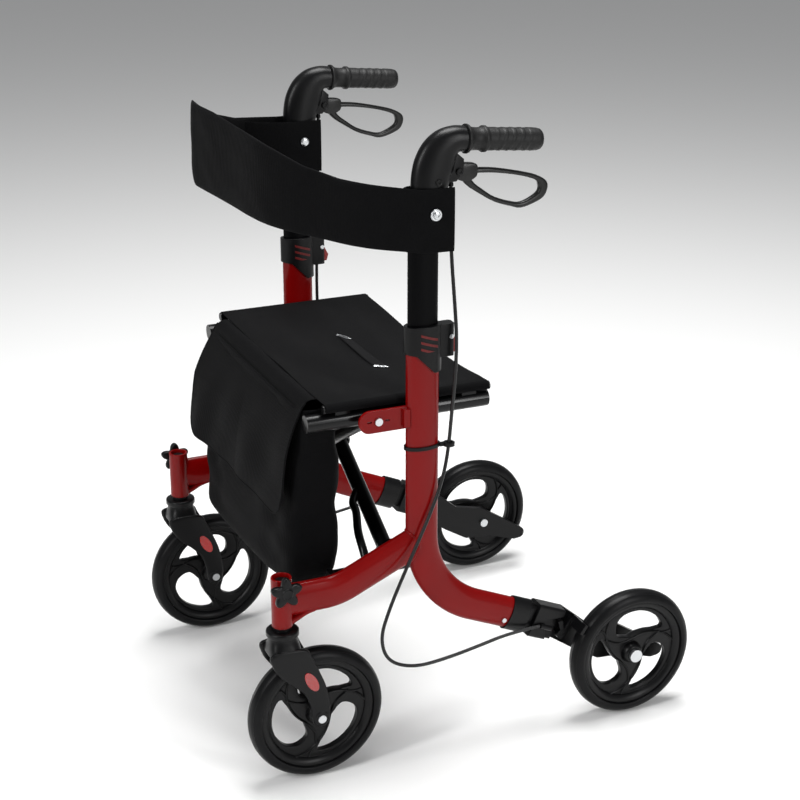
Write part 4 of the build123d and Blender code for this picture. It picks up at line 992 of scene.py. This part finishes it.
def grid_object(
    name, grid, material, body, cad_nodes=(), wrap_cols=False, thick=0.0, offset=0.0, subdivide=0,
):
    """An open sheet from a grid of points, given its thickness by Solidify and then smoothed."""
    rows, cols = grid.shape[:2]
    mesh = bpy.data.meshes.new(name)
    mesh.from_pydata(grid.reshape(-1, 3).tolist(), [], shell_faces(rows, cols, False, wrap_cols, False, 0))
    made = bpy.data.objects.new(name, mesh)
    bpy.context.scene.collection.objects.link(made)
    mesh.materials.append(material)
    mesh.shade_smooth()
    if thick:
        wall = made.modifiers.new("wall", "SOLIDIFY")
        wall.thickness = thick
        wall.offset = offset
    if subdivide:
        finer = made.modifiers.new("finer", "SUBSURF")
        finer.levels = finer.render_levels = subdivide
    if body:
        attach(made, body)
    if cad_nodes:
        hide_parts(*cad_nodes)
    return made


seat_cloth = cloth_material("coated_black_nylon_cloth", "#060607", "#0c0c0d", 0.0012, 0.02)
hem_r = 0.0072
hem = np.radians(np.linspace(-28, 90, 14))
span = np.linspace(1, -1, 61)[1:-1]
left_x = RAIL_X + hem_r * np.cos(hem)
left_z = RAIL_Z + hem_r * np.sin(hem)
top_x = RAIL_X * span
top_z = np.full(len(span), RAIL_Z + hem_r)
seat_x = np.concatenate([left_x, top_x, -left_x[::-1]])
seat_z = np.concatenate([left_z, top_z, left_z[::-1]])
seat_y = np.linspace(SEAT_FRONT, SEAT_REAR, 50)
seat_grid = np.stack([
    np.broadcast_to(seat_x[:, None], (len(seat_x), len(seat_y))),
    np.broadcast_to(seat_y[None], (len(seat_x), len(seat_y))),
    np.broadcast_to(seat_z[:, None], (len(seat_x), len(seat_y))),
], -1).copy()
# The sag is a half ellipse across the rails, from 2 mm at the front edge to SEAT_SAG behind it.
inner = np.clip((RAIL_X - np.abs(seat_grid[..., 0])) / 0.03, 0, 1)
taut = np.interp(seat_grid[..., 1], (SEAT_FRONT, -0.13), (0.002, SEAT_SAG))
seat_grid[..., 2] -= taut * np.clip(1 - (seat_grid[..., 0] / RAIL_X) ** 2, 0, 1) ** 0.9
seat_grid[..., 2] += inner * folds(
    seat_grid, [(0.1, 1, 0), (0.9, 0.5, 0), (0.3, -1, 0)], (0.045, 0.17, 0.11), (0.0004, 0.0009, 0.0006), 3
)
seat_piece = grid_object(
    "seat_panel", seat_grid, seat_cloth, None, ["seat"], thick=0.0013, subdivide=1,
)
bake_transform(seat_piece)

# The strap that lifts the seat to fold it: a webbing ribbon laid on the cloth between two
# slits, each edged with a thin bright wire.
SLITS = (((-0.063, -0.089), (-0.037, -0.076)), ((0.088, -0.092), (0.101, -0.074)))


def on_seat(flat, above):
    """The (x, y) points put above the nearest points of the seat's grid."""
    seat_points = seat_grid.reshape(-1, 3)
    gaps = ((flat[..., None, :] - seat_points[:, :2]) ** 2).sum(-1)
    return np.concatenate([flat, seat_points[gaps.argmin(-1), 2][..., None] + above], -1)


webbing = cloth_material("black_strap_webbing", "#0a0a0b", "#161617", 0.0009, 0.02)
along = np.linspace(0, 1, 40)[:, None, None]
sideways = np.linspace(0, 1, 7)[None, :, None]
slit_ends = np.array(SLITS)
starts = slit_ends[0, 0] * (1 - sideways) + slit_ends[0, 1] * sideways
ends = slit_ends[1, 0] * (1 - sideways) + slit_ends[1, 1] * sideways
ribbon = on_seat(starts * (1 - along) + ends * along, 0.0016)
ribbon[..., 2] += 0.0014 * np.sin(np.pi * along[..., 0])
strap_piece = grid_object("seat_lift_strap", ribbon, webbing, None, thick=0.0012)
wires = []
for low, high in slit_ends:
    turn = np.linspace(0, 2 * np.pi, 48)
    reach = (high - low) / 2
    side_reach = 0.0022 * np.array((-reach[1], reach[0])) / np.linalg.norm(reach)
    oval = (low + high) / 2 + np.cos(turn)[:, None] * reach + np.sin(turn)[:, None] * side_reach
    wires.append(tube(on_seat(oval, 0.0020), 0.0008, 8))
wire_piece = make_piece("slit_edging", wires, bright_zinc, None)
for lying in (strap_piece, wire_piece):
    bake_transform(lying)

# The bag under the seat's front edge: the same cloth, sewn as a tub with a rounded bottom
# edge, bound at its mouth and hung from the support tubes. It sags lower on the right.
BAG_MIDDLE_Y = -0.2135
bag_cloth = cloth_material("matte_black_oxford_cloth", "#050506", "#0b0b0c", 0.0014, 0.02)
down = np.linspace(0, 1, 56)[:, None]
angle = np.linspace(0, 2 * np.pi, 160, endpoint=False)[None]
c, s = np.cos(angle), np.sin(angle)
power = 7.0
drawn = np.where(down > 0.9, np.sqrt(np.clip(1 - ((down - 0.9) / 0.1) ** 2, 0, 1)), 1.0)
flare = 1 - 0.02 * down
unit_x = np.sign(c) * np.abs(c) ** (2 / power)
unit_y = np.sign(s) * np.abs(s) ** (2 / power)
bulge = np.sin(np.pi * np.clip(down, 0, 1) ** 0.8) * (1 - unit_x**4)
bag_x = unit_x * (0.194 * flare - 0.018 * (1 - drawn))
bag_y = BAG_MIDDLE_Y - 0.016 * down + unit_y * (0.0305 + 0.011 * down + 0.004 * bulge - 0.026 * (1 - drawn))
bag_low = 0.249 + 0.013 * bag_x / 0.19 + 0.007 * (bag_x / 0.19) ** 2
bag_z = 0.535 + (bag_low - 0.535) * down
bag_grid = np.stack([bag_x, bag_y, bag_z], -1)
slack = np.sin(np.pi * np.clip(down, 0, 1)) ** 0.7
ripple = slack * folds(
    bag_grid, [(1, 0, 0.25), (0.35, 0, 1), (1, 0.4, -0.7), (0.15, 0, 1)], (0.13, 0.11, 0.067, 0.048),
    (0.0024, 0.0020, 0.0012, 0.0007), 11,
)
bag_grid[..., 1] += np.sign(unit_y) * np.abs(unit_y) * ripple
bag_grid[..., 0] += np.sign(unit_x) * np.abs(unit_x) ** 5 * ripple * 0.8
bag_floor = np.concatenate([
    bag_grid, bag_grid[-1:] * (0.6, 1, 1), bag_grid[-1:] * (0.02, 0, 1) + (0, BAG_MIDDLE_Y - 0.016, 0),
])
bag_piece = grid_object(
    "hanging_bag", bag_floor, bag_cloth, "bag", ["bag"], wrap_cols=True, thick=0.0016,
    offset=1.0,
)
work = bmesh.new()
work.from_mesh(bag_piece.data)
work.verts.ensure_lookup_table()
cols = bag_floor.shape[1]
work.faces.new(work.verts[-cols:])
bmesh.ops.recalc_face_normals(work, faces=work.faces)
work.to_mesh(bag_piece.data)
work.free()
bag_piece.data.shade_smooth()
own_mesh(bag_piece)

# The flap that covers the bag's mouth: one layer of the cloth with rounded corners, bound
# with tape all round, falling over the front from under the seat's front edge.
FLAP_X = 0.190
FLAP_LOW = 0.377
FLAP_CORNER = 0.038
across = np.linspace(-1, 1, 97)[:, None]
fall = np.linspace(0, 1, 61)[None]
edge_low = FLAP_LOW + FLAP_CORNER * (
    1 - np.sqrt(1 - np.clip((np.abs(across) * FLAP_X - FLAP_X + FLAP_CORNER) / FLAP_CORNER, 0, 1) ** 2)
)
FLAP_FALL = (
    (-0.2150, 0.5462), (-0.2215, 0.5482), (-0.2290, 0.5478), (-0.2365, 0.5430), (-0.2420, 0.5345),
    (-0.2530, 0.5090), (-0.2610, 0.4810),
    (-0.2665, 0.4520), (-0.2710, 0.4230), (-0.2745, 0.3950), (-0.2755, 0.3600),
)
fall_line = even(smooth_line(FLAP_FALL, parts=8), 0.002)
fall_run = np.concatenate([[0], np.cumsum(np.linalg.norm(np.diff(fall_line, axis=0), axis=1))])
whole_run = np.interp(-edge_low, -fall_line[:, 1], fall_run)
run = fall * whole_run
flap_y = np.interp(run, fall_run, fall_line[:, 0])
flap_z = np.interp(run, fall_run, fall_line[:, 1])
flap_grid = np.stack([np.broadcast_to(across * FLAP_X, flap_y.shape), flap_y, flap_z], -1).copy()
hang = np.clip((0.52 - flap_grid[..., 2]) / 0.10, 0, 1)
full = np.clip(-flap_grid[..., 0] / 0.16, 0, 1) ** 0.8 * np.clip((0.53 - flap_grid[..., 2]) / 0.06, 0, 1)
flap_grid[..., 1] -= 0.009 * full + hang * (0.0010 + folds(
    flap_grid, [(1, 0, 0.1), (1, 0, -0.45), (0.3, 0, 1)], (0.21, 0.095, 0.12), (0.0026, 0.0012, 0.0008), 21
))
flap_piece = grid_object(
    "bag_cover_flap", flap_grid, bag_cloth, "bag_flap", ["bag_flap"], thick=0.0016,
    subdivide=1,
)
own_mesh(flap_piece)
binding = cloth_material("black_binding_tape", "#080809", "#101011", 0.0018, 0.02)
edge_line = np.concatenate([flap_grid[0, 8:-1], flap_grid[:, -1], flap_grid[-1, 8:-1][::-1]])
tape = make_piece(
    "flap_binding", [tube(even(edge_line, 0.004), 0.0016, 10)], binding, "bag_flap",
)
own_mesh(tape)

# The backrest: a foam band in the same cloth that hoops round the front of the two handles.
# Its ends are bolted to the outer sides of the handle tubes, and a strap on each tube's inner
# side runs to meet the band.
BAND = (
    (0.2605, -0.048), (0.2605, -0.067), (0.2605, -0.086), (0.2555, -0.0995), (0.243, -0.1125),
    (0.230, -0.130),
    (0.2145, -0.1475), (0.196, -0.162), (0.177, -0.174), (0.1375, -0.1945), (0.096, -0.2175),
    (0.0505, -0.2335),
    (0.0, -0.241), (-0.066, -0.245), (-0.107, -0.248), (-0.148, -0.252), (-0.180, -0.2545), (-0.208, -0.255),
    (-0.2385, -0.243), (-0.2515, -0.2195), (-0.256, -0.191), (-0.258, -0.160), (-0.2598, -0.130),
    (-0.2605, -0.100), (-0.2605, -0.074), (-0.2605, -0.048),
)
STRAPS = (
    ((0.2228, -0.048), (0.2228, -0.074), (0.2228, -0.096), (0.2285, -0.1065), (0.2390, -0.1135)),
    (
        (-0.2228, -0.048), (-0.2228, -0.075), (-0.2232, -0.102), (-0.2320, -0.128), (-0.2450, -0.149),
        (-0.2545, -0.160),
    ),
)
band = even(smooth_line(BAND, parts=20), 0.0035)
ahead = np.gradient(band, axis=0)
ahead /= np.linalg.norm(ahead, axis=1)[:, None]
outward_xy = np.stack([-ahead[:, 1], ahead[:, 0]], 1)
outward_xy *= np.sign(outward_xy[len(band) // 2] @ (0, -1))
depth_y = -band[:, 1]
low_z = np.interp(depth_y, (0.04, 0.108, 0.26), (0.7555, 0.757, 0.760))
high_z = np.interp(
    depth_y, (0.04, 0.108, 0.176, 0.205, 0.235, 0.250, 0.270),
    (0.842, 0.842, 0.846, 0.854, 0.872, 0.884, 0.887),
)
swell = np.interp(depth_y, (0.095, 0.125, 0.16), (0.08, 0.25, 1.0))
angle = np.linspace(0, 2 * np.pi, 48, endpoint=False)[None]
c, s = np.cos(angle), np.sin(angle)
upright_unit = np.sign(s) * np.abs(s) ** 0.62
thick_unit = np.sign(c) * np.abs(c) ** 0.75
half_t = (0.0012 + 0.0036 * swell)[:, None]
mid_z = ((low_z + high_z) / 2)[:, None]
half_z = ((high_z - low_z) / 2)[:, None]
pad_xy = band[:, None] + outward_xy[:, None] * (half_t * thick_unit)[..., None]
pad_grid = np.concatenate([pad_xy, (mid_z + half_z * upright_unit)[..., None]], 2)
crease = np.clip((swell - 0.3) / 0.7, 0, 1)[:, None] * folds(
    pad_grid, [(1, 0, 0.2), (0.4, 0.9, 0.5), (0.7, -0.4, 1)], (0.150, 0.090, 0.060),
    (0.0006, 0.0004, 0.0003), 5
)
pad_grid[..., :2] += outward_xy[:, None] * (
    crease * np.abs(thick_unit)
)[..., None] * np.sign(thick_unit)[..., None]
strap_grids = []
for route in STRAPS:
    line = even(smooth_line(route, parts=10), 0.003)
    along = np.gradient(line, axis=0)
    along /= np.linalg.norm(along, axis=1)[:, None]
    beside = np.stack([-along[:, 1], along[:, 0]], 1)
    side_xy = line[:, None] + beside[:, None] * (0.0011 * thick_unit)[..., None]
    side_z = 0.7995 + 0.0400 * np.broadcast_to(upright_unit, side_xy.shape[:2])
    strap_grids.append(np.concatenate([side_xy, side_z[..., None]], 2))
backrest_piece = make_piece(
    "padded_backrest", [pad_grid, *strap_grids], seat_cloth, "handle_right", ["backrest"], 60,
)
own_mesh(backrest_piece)
